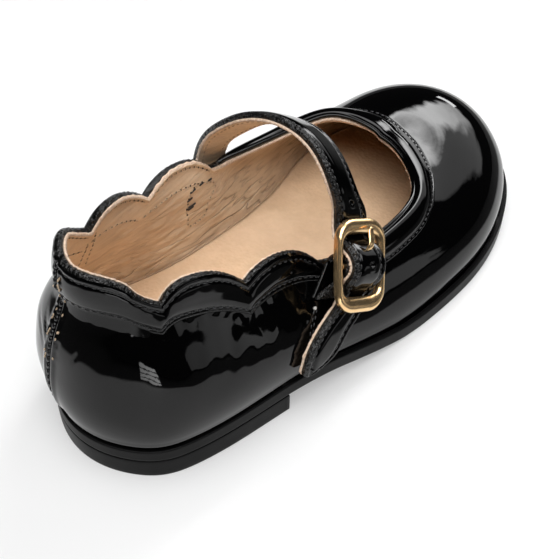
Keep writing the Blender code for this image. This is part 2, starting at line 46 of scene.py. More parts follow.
# Sole outline at the 24 rows (0 back, 6 outer side, 12 toe, 18 inner side), and the upper's ledge.
outlineRows = (   # x, y, ledge
    (0.4, 0.0, 0.4), (2.0, -11.2, 0.4), (8.9, -21.0, 0.4), (18.0, -25.3, 0.4),
    (31.2, -27.5, 0.4), (49.4, -29.2, 0.6), (67.0, -31.6, 1.0), (85.0, -33.0, 1.5),
    (104.0, -32.5, 1.6), (122.0, -29.1, 1.6), (137.8, -21.0, 1.6), (146.8, -9.9, 1.6),
    (150.0, 2.8, 1.6), (147.6, 15.8, 1.6), (138.6, 27.8, 1.6), (123.2, 33.8, 1.6),
    (105.8, 33.6, 1.6), (85.0, 26.8, 1.5), (65.0, 23.2, 1.0), (45.0, 22.2, 0.6),
    (28.0, 24.4, 0.4), (15.0, 21.4, 0.4), (8.0, 16.4, 0.4), (3.5, 9.6, 0.4))
soleProfile = (   # x, underside z, thickness
    (-5.0, 6.3, 3.5), (44.0, 6.3, 3.6), (50.0, 6.1, 3.7), (58.0, 5.5, 4.0),
    (67.0, 3.9, 4.1), (76.0, 1.9, 4.1), (84.0, 0.4, 4.1), (91.0, 0.0, 4.1), (109.0, 0.0, 4.2),
    (122.0, 0.7, 4.3), (130.0, 1.8, 4.4), (138.0, 3.2, 4.4), (144.5, 4.6, 4.4),
    (150.0, 6.0, 4.3), (155.0, 7.2, 4.3))
insoleProfile = (   # x, top z
    (-5.0, 15.2), (10.0, 15.0), (30.0, 14.0), (50.0, 12.9), (65.0, 11.6), (78.0, 9.9),
    (92.0, 8.0), (110.0, 7.4), (130.0, 8.6), (150.0, 12.0))
sectionRows = (   # row, top x, top y, top z, bulge, rise, reach, drop, sink
    (0.0, 6.2, 0.0, 50.2, 5.0, 12.6, 0.3, 13.0, 0.0),
    (2.0, 12.4, -11.4, 50.2, 4.2, 13.0, -0.2, 11.6, 0.0),
    (3.4, 19.8, -15.6, 48.0, 6.0, 15.0, 0.6, 10.0, 0.0),
    (4.7, 41.6, -18.4, 40.8, 4.6, 13.4, 2.2, 8.8, 0.0),
    (6.0, 62.8, -18.8, 32.2, 1.6, 8.5, 3.0, 6.5, 0.0),
    (7.0, 76.5, -19.6, 27.9, 2.2, 7.2, 5.8, 5.5, 0.0),
    (8.0, 95.4, -18.4, 27.7, 3.2, 8.0, 7.2, 4.0, 0.5),
    (9.0, 105.6, -12.1, 27.9, 4.2, 9.7, 12.5, 1.0, 1.4),
    (10.0, 109.8, -3.8, 28.8, 3.4, 10.6, 16.8, -0.4, 1.9),
    (12.0, 111.0, 4.5, 29.3, 5.3, 14.0, 22.0, -2.8, 2.0),
    (14.0, 110.8, 11.4, 29.8, 4.6, 12.0, 15.5, 0.2, 0.9),
    (15.0, 107.2, 20.4, 29.2, 5.6, 5.5, 8.5, 5.0, 0.2),
    (16.0, 95.9, 25.4, 27.1, 4.7, 7.6, 5.0, 2.6, 0.0),
    (17.0, 79.2, 27.3, 27.9, 2.4, 8.3, 5.4, 5.0, 0.0),
    (18.0, 66.8, 26.0, 31.2, 2.5, 9.2, -0.8, 6.8, 0.0),
    (19.2, 42.0, 20.2, 41.2, 3.9, 10.8, -0.4, 10.0, 0.0),
    (20.7, 22.3, 15.3, 47.6, 5.2, 10.5, 2.4, 11.2, 0.0),
    (22.2, 12.6, 12.4, 50.0, 8.2, 10.6, 2.3, 10.9, 0.0))
collarScallops = (   # from row, to row, rise
    (-3.3, 3.4, 7.3), (3.4, 4.7, 5.5), (4.7, 6.15, 4.6), (18.0, 19.2, 4.6), (19.2, 20.7, 5.5))
upperSizes = {"wall": 2.2, "gap": 0.3, "trough": 7.5, "scallopPower": 2.3}


# Curves and surfaces of the last.
def splineBends(knots, values, closed):   # second derivatives of the cubic spline
    count = len(knots)
    step = np.diff(knots)
    matrix = np.zeros((count, count))
    right = np.zeros((count, values.shape[1]))
    for i in range(1, count - 1):
        matrix[i, i - 1:i + 2] = step[i - 1], 2 * (step[i - 1] + step[i]), step[i]
        right[i] = 6 * ((values[i + 1] - values[i]) / step[i] - (values[i] - values[i - 1]) / step[i - 1])
    matrix[0, 0] = matrix[-1, -1] = 1
    if closed:
        matrix[0, :2] = 2 * (step[-1] + step[0]), step[0]
        matrix[0, -2] = step[-1]
        right[0] = 6 * ((values[1] - values[0]) / step[0] - (values[0] - values[-2]) / step[-1])
        matrix[-1, 0] = -1
    return np.linalg.solve(matrix, right)


class Curve:   # smooth curve through the rows of a table
    def __init__(self, knots, values, closed=False):
        self.knots = np.asarray(knots, float)
        self.values = np.asarray(values, float)
        self.bends = splineBends(self.knots, self.values, closed)
        self.closed = closed

    def __call__(self, at):
        at = np.asarray(at, float)
        if self.closed:
            at = self.knots[0] + np.mod(at - self.knots[0], self.knots[-1] - self.knots[0])
        i = np.clip(np.searchsorted(self.knots, at, side="right") - 1, 0, len(self.knots) - 2)
        step = (self.knots[i + 1] - self.knots[i])[..., None]
        a = (self.knots[i + 1] - at)[..., None] / step
        b = 1 - a
        bend = ((a ** 3 - a) * self.bends[i] + (b ** 3 - b) * self.bends[i + 1]) * step ** 2 / 6
        return a * self.values[i] + b * self.values[i + 1] + bend


def closedCurve(rows, knots):
    return Curve(np.append(knots, lastFrame["rows"]), np.vstack([rows, rows[:1]]), closed=True)


def openCurve(points):
    points = np.asarray(points, float)
    steps = np.linalg.norm(np.diff(points, axis=0), axis=1)
    return Curve(np.append(0, np.cumsum(steps)), points)


def profileHeight(table, column, x):   # smooth height without overshoot between rows
    table = np.array(table)
    xs = table[:, 0]
    ys = table[:, column]
    step = np.diff(xs)
    slope = np.diff(ys) / step
    tangent = np.zeros(len(xs))
    for i in range(1, len(xs) - 1):
        if slope[i - 1] * slope[i] > 0:
            left = 2 * step[i] + step[i - 1]
            right = step[i] + 2 * step[i - 1]
            tangent[i] = (left + right) / (left / slope[i - 1] + right / slope[i])
    tangent[0] = slope[0]
    tangent[-1] = slope[-1]
    i = np.clip(np.searchsorted(xs, x, side="right") - 1, 0, len(xs) - 2)
    u = (x - xs[i]) / step[i]
    start = (2 * u ** 3 - 3 * u ** 2 + 1) * ys[i] + (u ** 3 - 2 * u ** 2 + u) * step[i] * tangent[i]
    return start + (3 * u ** 2 - 2 * u ** 3) * ys[i + 1] + (u ** 3 - u ** 2) * step[i] * tangent[i + 1]


outlineCurve = closedCurve(np.array(outlineRows), np.arange(lastFrame["rows"]))
sectionTable = np.array(sectionRows)
sectionCurve = closedCurve(sectionTable[:, 1:], sectionTable[:, 0])


def underside(x):
    return profileHeight(soleProfile, 1, x)


def soleTop(x):
    return underside(x) + profileHeight(soleProfile, 2, x)


def insoleTop(x):
    return profileHeight(insoleProfile, 1, x)


def unit(vector):
    vector = np.asarray(vector, float)
    return vector / np.maximum(np.linalg.norm(vector, axis=-1, keepdims=True), 1e-9)


def smoothStep(low, high, value):
    share = np.clip((value - low) / (high - low), 0, 1)
    return share * share * (3 - 2 * share)


def hump(away, width):   # 1 in the middle, fading to both sides
    return np.exp(-(away / width) ** 2)


def outwardAt(row):   # level direction out of the outline
    along = outlineCurve(row + 0.02)[..., :2] - outlineCurve(row - 0.02)[..., :2]
    return unit(np.stack([along[..., 1], -along[..., 0], 0 * along[..., 0]], -1))


def scallopLine(row, scallops):   # rise of a scalloped line above the line through its notches
    row = np.mod(row, lastFrame["rows"])
    rise = np.zeros_like(row)
    for start, end, height in scallops:
        place = np.where(row > end, row - lastFrame["rows"], row) if start < 0 else row
        share = np.clip((place - start) / (end - start), 0, 1)
        rise += height * (1 - np.abs(2 * share - 1) ** upperSizes["scallopPower"])
    return rise


def upperCurve(row, t):   # outer face of the upper: t is 0 at the sole and 1 at the notch line
    row, t = np.broadcast_arrays(np.asarray(row, float), np.asarray(t, float))
    edge = outlineCurve(row)
    out = outwardAt(row)
    foot = edge[..., :2] - out[..., :2] * edge[..., 2:3]
    foot = np.concatenate([foot, (soleTop(foot[..., 0]) + upperSizes["gap"])[..., None]], -1)
    section = sectionCurve(row)
    top = section[..., :3]
    bulge, rise, reach, drop, sink = (section[..., i:i + 1] for i in range(3, 8))
    up = np.array([0, 0, 1.0])
    low = foot + out * bulge + up * rise
    high = top + out * reach - up * drop
    s = t[..., None]
    q = 1 - s
    point = q ** 3 * foot + 3 * q * q * s * low + 3 * q * s * s * high + s ** 3 * top
    away = np.linalg.norm(point - top, axis=-1, keepdims=True) / upperSizes["trough"]
    return point - up * np.maximum(sink, 0) * (away * np.exp(1 - away)) ** 2


climbSteps = np.linspace(0, 1, 41)


def climbTable(row):
    samples = upperCurve(row[:, None], climbSteps[None, :])
    lengths = np.linalg.norm(np.diff(samples, axis=1), axis=2)
    lengths = np.concatenate([np.zeros((len(row), 1)), np.cumsum(lengths, axis=1)], 1)
    return lengths, unit(samples[:, -1] - samples[:, -2])


def upperGrid(row, climb):   # points of the outer face, one line of climbs for each row
    row = np.asarray(row, float)
    lengths, last = climbTable(row)
    t = np.array([np.interp(c, line, climbSteps) for c, line in zip(climb, lengths)])
    over = np.maximum(climb - lengths[:, -1:], 0)
    return upperCurve(row[:, None], t) + last[:, None, :] * over[..., None]


def normalGrid(row, climb):
    climb = np.maximum(climb, 0.3)
    along = upperGrid(row + 0.02, climb) - upperGrid(row - 0.02, climb)
    rising = upperGrid(row, climb + 0.3) - upperGrid(row, climb - 0.3)
    return unit(np.cross(along, rising))


def oneLine(grid, row, climb):   # a grid's values for one climb in each row
    row = np.atleast_1d(np.asarray(row, float))
    return grid(row, np.broadcast_to(np.asarray(climb, float), row.shape)[:, None])[:, 0]


def upperPoint(row, climb):
    return oneLine(upperGrid, row, climb)


def upperNormal(row, climb):
    return oneLine(normalGrid, row, climb)


def onUpper(row, climb, lift):
    return upperPoint(row, climb) + upperNormal(row, climb) * np.asarray(lift)[..., None]


def climbToEdge(row):   # from the sole to the collar's edge
    row = np.atleast_1d(np.asarray(row, float))
    return climbTable(row)[0][:, -1] + scallopLine(row, collarScallops)


# Meshes.
def inPart(points):   # metres in the part's own frame
    return (np.asarray(points, float) - (lastFrame["originX"], lastFrame["originY"], 0)) * lastFrame["mm"]


def addPiece(name, points, faces, finishes, stands=(), finishOf=None):
    mesh = bpy.data.meshes.new(name)
    mesh.from_pydata(inPart(points).tolist(), [], [tuple(int(i) for i in face) for face in faces])
    for finish in finishes:
        mesh.materials.append(finish)
    if finishOf is not None:
        mesh.polygons.foreach_set("material_index", np.asarray(finishOf, np.int32))
    mesh.shade_smooth()
    mesh.update()
    return settle(name, mesh, stands)


def settle(name, mesh, stands=()):   # the piece joins the shoe's one body
    piece = bpy.data.objects.new(name, mesh)
    bpy.context.collection.objects.link(piece)
    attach(piece, "root")
    if stands:
        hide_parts(*stands)
    return piece


def gridFaces(levels, count, closedWay, closedRound=True, base=0):
    k = np.arange(levels if closedWay else levels - 1)[:, None]
    i = np.arange(count if closedRound else count - 1)[None, :]
    low = k * count
    high = (k + 1) % levels * count
    j = (i + 1) % count
    quads = np.stack(np.broadcast_arrays(low + i, low + j, high + j, high + i), -1)
    return (quads.reshape(-1, 4) + base).tolist()


def ladderCap(ring, steps, heightAt, base, start, flip=False):
    # fills a ring of 2n points with a grid between points i and 2n - i; gives new points and faces
    count = len(ring)
    half = count // 2
    points = []
    index = np.zeros((half + 1, steps + 1), int)
    for i in range(half + 1):
        for s in range(steps + 1):
            if s == 0 or i in (0, half):
                index[i, s] = base + i
            elif s == steps:
                index[i, s] = base + count - i
            else:
                share = s / steps
                points.append(ring[i] * (1 - share) + ring[count - i] * share)
                index[i, s] = start + len(points) - 1
    points = np.array(points)
    if heightAt is not None:
        points[:, 2] = heightAt(points)
    faces = []
    for i in range(half):
        for s in range(steps):
            face = [index[i, s], index[i, s + 1], index[i + 1, s + 1], index[i + 1, s]]
            face = [v for n, v in enumerate(face) if v != face[n - 1]]
            if len(face) > 2:
                faces.append(face[::-1] if flip else face)
    return points, faces


def ripple(points, wavelength, seed):   # smooth unevenness, about -1 to 1
    waves = 7
    draw = np.random.default_rng(seed)
    total = np.zeros(points.shape[:-1])
    for _ in range(waves):
        turn = unit(draw.normal(size=3)) * 2 * np.pi / (wavelength * draw.uniform(0.7, 1.5))
        total += np.sin(points @ turn + draw.uniform(0, 2 * np.pi))
    return total / math.sqrt(waves)


# Finishes.
def setInputs(tree, node, inputs):   # a socket is linked, a value is set
    for place, value in inputs.items():
        if isinstance(value, bpy.types.NodeSocket):
            tree.links.new(value, node.inputs[place])
        else:
            node.inputs[place].default_value = value


def addNode(tree, kind, inputs=None, **settings):
    node = tree.nodes.new(kind)
    for name, value in settings.items():
        setattr(node, name, value)
    setInputs(tree, node, inputs or {})
    return node


def newFinish(name):
    finish = bpy.data.materials.new(name)
    finish.use_nodes = True
    tree = finish.node_tree
    tree.nodes.clear()
    shader = addNode(tree, "ShaderNodeBsdfPrincipled")
    addNode(tree, "ShaderNodeOutputMaterial", {"Surface": shader.outputs["BSDF"]})
    return finish, tree, shader


def placeOn(tree):
    return addNode(tree, "ShaderNodeTexCoord").outputs["Object"]


def noiseOn(tree, scale, detail=3.0, roughness=0.55, stretch=(1, 1, 1), turn=(0, 0, 0)):
    mapping = addNode(tree, "ShaderNodeMapping", {
        "Vector": placeOn(tree), "Scale": [1 / share for share in stretch],
        "Rotation": [math.radians(angle) for angle in turn]}, vector_type="TEXTURE")
    noise = addNode(tree, "ShaderNodeTexNoise", {
        "Vector": mapping.outputs["Vector"], "Scale": scale, "Detail": detail, "Roughness": roughness})
    return noise.outputs["Fac"]


def cellsOn(tree, scale):
    cells = addNode(tree, "ShaderNodeTexVoronoi", {"Vector": placeOn(tree), "Scale": scale})
    return cells.outputs["Distance"]


def bumpFrom(tree, height, distance, strength=1.0, under=None):
    bump = addNode(tree, "ShaderNodeBump", {"Height": height, "Distance": distance, "Strength": strength})
    if under is not None:
        tree.links.new(under, bump.inputs["Normal"])
    return bump.outputs["Normal"]


def rangeOf(tree, value, low, high, toLow, toHigh):
    return addNode(tree, "ShaderNodeMapRange", {"Value": value, "From Min": low, "From Max": high,
                                                "To Min": toLow, "To Max": toHigh}).outputs["Result"]


def mathOf(tree, rule, *values):   # of sockets and numbers
    return addNode(tree, "ShaderNodeMath", dict(enumerate(values)), operation=rule).outputs[0]


def productOf(tree, factors):
    total = factors[0]
    for factor in factors[1:]:
        total = mathOf(tree, "MULTIPLY", total, factor)
    return total


def blendColours(tree, share, low, high):   # from sockets or colours
    low, high = (end if isinstance(end, bpy.types.NodeSocket) else (*end, 1) for end in (low, high))
    return addNode(tree, "ShaderNodeMix", {0: share, 6: low, 7: high}, data_type="RGBA").outputs[2]


def patentFinish(name, wave=0.00004):   # wave is the height of the slow unevenness, in metres
    finish, tree, shader = newFinish(name)
    slow = bumpFrom(tree, noiseOn(tree, 160, 2), wave, 0.5)
    setInputs(tree, shader, {
        "Base Color": (0.0007, 0.0007, 0.0008, 1), "IOR": 1.38,
        "Roughness": rangeOf(tree, noiseOn(tree, 90, 4), 0.3, 0.75, 0.025, 0.06),
        "Normal": bumpFrom(tree, noiseOn(tree, 900, 3), wave * 0.12, 0.6, slow)})
    return finish


def cutEdgeFinish(name):   # painted cut edge of black leather, granular and shiny
    finish, tree, shader = newFinish(name)
    grain = noiseOn(tree, 1000, 2, 0.6)
    specks = rangeOf(tree, grain, 0.55, 0.75, 0, 1)
    setInputs(tree, shader, {
        "Base Color": blendColours(tree, specks, (0.0015, 0.0015, 0.0015), (0.032, 0.030, 0.029)),
        "IOR": 1.45, "Roughness": 0.2, "Normal": bumpFrom(tree, grain, 0.0009, 1.0)})
    return finish


def tanFinish(name, light, dark, grain, wrinkle, streaks=None):   # leather with pores and soft streaks, and painted light and shade
    finish, tree, shader = newFinish(name)
    streak = noiseOn(tree, *wrinkle["noise"])
    both = mathOf(tree, "MULTIPLY_ADD", streak, 0.55, noiseOn(tree, 60, 3))
    place = addNode(tree, "ShaderNodeSeparateXYZ", {"Vector": placeOn(tree)}).outputs
    if streaks:   # painted light, paler higher on the wall
        both = mathOf(tree, "ADD", both, rangeOf(tree, place["Z"], 0.016, 0.036, 0, 0.42))
    colour = blendColours(tree, rangeOf(tree, both, 0.55, 1.2, 0, 1), dark, light)
    normal = bumpFrom(tree, streak, wrinkle["depth"], 0.8)
    if streaks:   # long thin creases, closer together low on the wall, with painted shade darkening their lines
        ridge = mathOf(tree, "ABSOLUTE", mathOf(tree, "SUBTRACT", noiseOn(tree, *streaks["noise"]), 0.5))
        line = rangeOf(tree, ridge, 0.0, streaks["width"], 1, 0)
        low = rangeOf(tree, place["Z"], streaks["low"], streaks["high"], 1.0, 0.25)
        patchy = rangeOf(tree, noiseOn(tree, 75, 2), 0.38, 0.6, 0.15, 1.0)
        line = productOf(tree, [line, low, patchy])
        colour = blendColours(tree, mathOf(tree, "MULTIPLY", line, 0.5), colour, streaks["colour"])
        normal = bumpFrom(tree, mathOf(tree, "MULTIPLY", line, -1.0), streaks["depth"], 1.0, normal)
    toeShade = rangeOf(tree, place["X"], 0.030, 0.058, 0, 0.72)   # painted shade, darker deep in the toe
    setInputs(tree, shader, {
        "Base Color": blendColours(tree, toeShade, colour, (0.090, 0.034, 0.010)), "Roughness": 0.55,
        "Sheen Weight": 0.08,
        "Normal": bumpFrom(tree, cellsOn(tree, grain["scale"]), grain["depth"], 0.55, normal)})
    return finish


def rawEdgeFinish(name):   # pale raw edge of the lining
    finish, tree, shader = newFinish(name)
    grain = noiseOn(tree, 1900, 4, 0.7)
    pale = rangeOf(tree, grain, 0.35, 0.7, 0, 1)
    setInputs(tree, shader, {
        "Base Color": blendColours(tree, pale, (0.62, 0.42, 0.29), (0.95, 0.78, 0.63)), "Roughness": 0.8,
        "Normal": bumpFrom(tree, grain, 0.0002, 0.8)})
    return finish


def rubberFinish(name):
    finish, tree, shader = newFinish(name)
    cloud = noiseOn(tree, 110, 4)
    setInputs(tree, shader, {
        "Base Color": blendColours(tree, cloud, (0.0015, 0.0015, 0.0016), (0.0035, 0.0035, 0.0037)),
        "IOR": 1.2, "Roughness": rangeOf(tree, cloud, 0.3, 0.7, 0.36, 0.48),
        "Normal": bumpFrom(tree, noiseOn(tree, 1500, 3), 0.00004, 0.5)})
    return finish


def brassFinish(name):
    finish, tree, shader = newFinish(name)
    setInputs(tree, shader, {
        "Base Color": blendColours(tree, noiseOn(tree, 240, 3), (0.95, 0.61, 0.29), (1.0, 0.74, 0.42)),
        "Metallic": 0.93, "Roughness": rangeOf(tree, noiseOn(tree, 700, 4), 0.3, 0.7, 0.20, 0.27),
        "Normal": bumpFrom(tree, noiseOn(tree, 300, 2), 0.00001, 0.4)})
    return finish


def threadFinish(name, colour, roughness):
    finish, tree, shader = newFinish(name)
    darker = [part * 0.6 for part in colour]
    setInputs(tree, shader, {"Base Color": blendColours(tree, noiseOn(tree, 4200, 2), darker, colour),
                             "Roughness": roughness})
    return finish


patent = patentFinish("black_patent")
strapPatent = patentFinish("strap_patent", 0.000008)
cutEdge = cutEdgeFinish("black_cut_edge")
liningTan = tanFinish(
    "tan_lining", (0.95, 0.74, 0.52), (0.53, 0.36, 0.215), {"scale": 1500, "depth": 0.00009},
    {"noise": (700, 4, 0.6, (0.06, 1, 1), (0, 4, 6)), "depth": 0.0006},
    {"noise": (470, 1.5, 0.5, (0.05, 1, 1), (0, 4, 6)), "width": 0.032, "low": 0.010, "high": 0.036,
     # the streaks' colour is painted shade along the lining's creases
     "colour": (0.20, 0.10, 0.05), "depth": 0.0004})
sockTan = tanFinish("tan_sock", (0.74, 0.525, 0.34), (0.57, 0.38, 0.23), {"scale": 1000, "depth": 0.00022},
                    {"noise": (420, 5, 0.6), "depth": 0.00014})
stitchHole = threadFinish("stitch_hole", (0.055, 0.028, 0.015), 0.9)
rawEdge = rawEdgeFinish("raw_lining_edge")
rubber = rubberFinish("black_sole_rubber")
brass = brassFinish("pale_brass")
blackThread = threadFinish("black_thread", (0.030, 0.030, 0.032), 0.42)
shinyThread = threadFinish("waxed_thread", (0.008, 0.008, 0.009), 0.16)
tanThread = threadFinish("tan_thread", (0.80, 0.60, 0.41), 0.7)
paleThread = threadFinish("pale_thread", (0.75, 0.72, 0.68), 0.6)


# Stitches.
def stitchTree():
    tree = bpy.data.node_groups.new("sew_stitches", "GeometryNodeTree")
    tree.interface.new_socket("Geometry", in_out="INPUT", socket_type="NodeSocketGeometry")
    for label, start in (("Length", 0.0012), ("Width", 0.0005), ("Height", 0.0004)):
        tree.interface.new_socket(label, in_out="INPUT", socket_type="NodeSocketFloat").default_value = start
    tree.interface.new_socket("Thread", in_out="INPUT", socket_type="NodeSocketMaterial")
    tree.interface.new_socket("Geometry", in_out="OUTPUT", socket_type="NodeSocketGeometry")
    entry = addNode(tree, "NodeGroupInput").outputs
    points = addNode(tree, "GeometryNodeMeshToPoints", {"Mesh": entry["Geometry"]})
    ball = addNode(tree, "GeometryNodeMeshUVSphere", {"Segments": 8, "Rings": 5, "Radius": 0.5})
    size = addNode(tree, "ShaderNodeCombineXYZ",
                   {"X": entry["Length"], "Y": entry["Width"], "Z": entry["Height"]})
    along, out = (addNode(tree, "GeometryNodeInputNamedAttribute", {"Name": label}, data_type="FLOAT_VECTOR")
                  for label in ("along", "out"))
    turn = addNode(tree, "FunctionNodeAxesToRotation",
                   {"Primary Axis": along.outputs["Attribute"], "Secondary Axis": out.outputs["Attribute"]},
                   primary_axis="X", secondary_axis="Z")
    place = addNode(tree, "GeometryNodeInstanceOnPoints", {
        "Points": points.outputs["Points"], "Instance": ball.outputs["Mesh"], "Scale": size.outputs["Vector"],
        "Rotation": turn.outputs["Rotation"]})
    real = addNode(tree, "GeometryNodeRealizeInstances", {"Geometry": place.outputs["Instances"]})
    paint = addNode(tree, "GeometryNodeSetMaterial", {"Geometry": real.outputs["Geometry"],
                                                      "Material": entry["Thread"]})
    addNode(tree, "NodeGroupOutput", {"Geometry": paint.outputs["Geometry"]})
    return tree


sewing = stitchTree()


stitchSizes = {   # from stitch to stitch, then length, width and height of each
    "collar_top_stitches": (1.75, 1.15, 0.42, 0.36),
    "collar_band_stitches": (1.75, 1.2, 0.46, 0.4),
    "throat_stitches": (1.6, 1.15, 0.34, 0.26),
    "back_seam_stitches": (2.1, 1.9, 1.35, 1.3),
    "back_seam_flecks": (3.0, 0.9, 0.36, 0.4),
    "lining_stitches": (1.9, 1.15, 0.42, 0.40),
    "lining_stitch_holes": (1.9, 0.75, 0.6, 0.2),
    "strap_under_stitches": (1.8, 1.15, 0.4, 0.36),
    "strap_stitches": (1.7, 1.15, 0.44, 0.38),
    "chape_stitches": (1.5, 1.0, 0.4, 0.34),
    "side_seam_stitches": (1.6, 1.15, 0.36, 0.3),
    "seam_end_knots": (0.6, 1.1, 0.9, 0.8),
    "anchor_stitches": (1.75, 1.2, 0.45, 0.42),
    "anchor_stitch_holes": (1.75, 0.65, 0.6, 0.2),
    "anchor_knots": (0.5, 1.3, 0.55, 0.5)}


def resample(line, pitch):   # evenly spaced middles along a line of points
    line = np.asarray(line, float)
    steps = np.linalg.norm(np.diff(line[:, :3], axis=0), axis=1)
    at = np.append(0, np.cumsum(steps))
    count = max(int(at[-1] / pitch), 1)
    where = (np.arange(count) + 0.5) * at[-1] / count
    return np.column_stack([np.interp(where, at, line[:, i]) for i in range(line.shape[1])])


def sew(name, lines, thread):   # lines hold points and their outward directions
    pitch, *sizes = stitchSizes[name]
    points, along, out = [], [], []
    for line in lines:
        spots = resample(line, pitch)
        single = len(spots) == 1
        points.append(spots[:, :3])
        along.append(unit(line[-1:, :3] - line[:1, :3] if single else np.gradient(spots[:, :3], axis=0)))
        out.append(unit(spots[:, 3:6]))
    mesh = bpy.data.meshes.new(name)
    mesh.from_pydata(inPart(np.concatenate(points)).tolist(), [], [])
    for label, values in (("along", np.concatenate(along)), ("out", np.concatenate(out))):
        mesh.attributes.new(label, "FLOAT_VECTOR", "POINT").data.foreach_set("vector", values.ravel())
    seed = bpy.data.objects.new(name + "_seed", mesh)
    bpy.context.collection.objects.link(seed)
    rule = seed.modifiers.new("sew", "NODES")
    rule.node_group = sewing
    sockets = {item.name: item.identifier for item in sewing.interface.items_tree if item.in_out == "INPUT"}
    for label, size in zip(("Length", "Width", "Height"), sizes):
        rule[sockets[label]] = size * lastFrame["mm"]
    rule[sockets["Thread"]] = thread
    graph = bpy.context.evaluated_depsgraph_get()
    sewn = bpy.data.meshes.new_from_object(seed.evaluated_get(graph), depsgraph=graph)
    sewn.name = name
    bpy.data.objects.remove(seed)
    sewn.shade_smooth()
    settle(name, sewn)


# Upper: patent leather outside, tan lining inside.
leather = {"collarDepth": 2.1, "rimExtra": 0.8, "throatDepth": 1.05, "bandThick": 0.35, "edgeRow": 1.9,
           "stitchIn": 0.85, "throatStitchIn": 0.6, "tuck": 1.0, "tuckReach": 5.5, "belly": 0.45,
           "bellyAt": 13.0, "padding": 0.30, "throatRoll": 1.25, "pucker": 0.07, "wave": 0.07,
           "throatRim": 0.75, "collarRim": 0.5, "rimGrain": 0.10, "footTuck": 0.75, "footReach": 0.8,
           "bodySteps": 54, "bandSteps": 22}
bandScallops = (   # from row, to row, rise of the collar band's lower line
    (-3.2, 3.25, 3.7), (3.25, 4.62, 3.4), (4.62, 6.4, 4.0), (17.75, 19.33, 4.0), (19.33, 20.8, 3.5))
bandDrop = 7.7   # lower line's notches below the collar's notch line
backSeam = {"row": -0.36, "rowLength": 9.6,   # lips: to one side, height, width
            "lips": ((1.0, 0.42, 0.75), (-0.35, -0.95, 0.45), (-1.0, -0.35, 0.5), (-2.1, 0.30, 0.7)),
            "torn": ((2.0, 0.7), (-2.2, 0.7)), "tear": 0.16}
throatBand = (   # row, width of the band round the throat
    (6.2, 6.9), (7.4, 6.9), (8.0, 6.7), (8.4, 6.2), (9.0, 6.6), (9.6, 7.7), (11.0, 8.1), (13.6, 8.0),
    (14.5, 7.3), (15.4, 6.2), (16.0, 6.0), (17.0, 6.3), (18.0, 6.6))

# Creases: where, how long and wide, how deep (a ridge is negative), which way (degrees
# from level, turning up to the front on the outer side) and how bent.
creases = (   # row, climb, length, width, depth, turn, bend
    (0.46, 24.5, 2.5, 0.7, 0.16, 76, 0.010),
    (23.3, 24.5, 5.0, 0.9, 0.36, -60, 0.010), (23.0, 22.5, 5.5, 1.0, 0.28, -44, 0.0),
    (3.75, 23.0, 7.5, 2.4, -0.12, 80, 0.01), (4.12, 21.5, 8.0, 2.0, 0.12, 68, 0.012),
    (4.35, 18.0, 7.0, 1.9, 0.08, 34, 0.012), (4.82, 18.5, 6.5, 1.8, -0.10, 60, 0.0),
    (5.28, 16.0, 6.0, 1.7, 0.10, 75, 0.0), (3.95, 17.0, 8.0, 2.4, 0.06, 18, 0.008),
    (20.6, 23.0, 8.0, 1.6, 0.34, 70, 0.0), (20.1, 21.0, 8.0, 1.7, 0.32, 110, 0.01),
    (19.5, 18.5, 8.0, 1.6, 0.34, 84, 0.0), (19.1, 17.0, 7.0, 1.4, 0.30, 60, 0.01),
    (18.7, 14.5, 7.0, 1.4, 0.24, 120, 0.0), (16.9, 14.0, 9.0, 1.8, 0.14, 8, 0.0))


def leatherRows():   # rows round the upper, close together, one at each notch
    spans = ((-3.3, 3.4, 168), (3.4, 4.7, 62), (4.7, 6.15, 60), (6.15, 18.0, 300), (18.0, 19.2, 56),
             (19.2, 20.7, 64))
    return np.concatenate([np.linspace(start, end, steps, endpoint=False) for start, end, steps in spans])


def collarShare(row):   # 1 at the collar, 0 round the throat
    row = np.mod(row, lastFrame["rows"])
    return 1 - smoothStep(5.9, 6.7, row) + smoothStep(17.3, 18.0, row)


def bandWidth(row):
    row = np.mod(row, lastFrame["rows"])
    collar = scallopLine(row, collarScallops) + bandDrop - scallopLine(row, bandScallops)
    table = np.array(throatBand)
    throat = np.interp(row, table[:, 0], table[:, 1])
    share = collarShare(row)
    return collar * share + throat * (1 - share)


def alongCrease(points, row, climb, turn, lift):   # distances along, across and off a crease's middle
    level = unit(upperPoint(row + 0.05, climb)[0] - upperPoint(row - 0.05, climb)[0])
    rising = unit(upperPoint(row, climb + 0.5)[0] - upperPoint(row, climb - 0.5)[0])
    away = points - onUpper(row, climb, [lift])[0]
    angle = math.radians(turn)
    return (away @ (level * math.cos(angle) + rising * math.sin(angle)),
            away @ (rising * math.cos(angle) - level * math.sin(angle)), away @ upperNormal(row, climb)[0])


def creaseHeight(points):
    rise = np.zeros(points.shape[:-1])
    for row, climb, length, width, depth, turn, bend in creases:
        x, y, deep = alongCrease(points, row, climb, turn, 0.0)
        q = ((y - bend * x * x) / width) ** 2
        near = np.exp(-(x / length * 1.6) ** 2 - (deep / 9) ** 4)
        rise -= depth * near * (1 - 0.55 * q) * np.exp(-q * 0.8)
    return rise


def aroundFrom(row, start):   # rows from a start row, the short way round
    half = lastFrame["rows"] / 2
    return np.mod(row + half - start, lastFrame["rows"])[:, None] - half


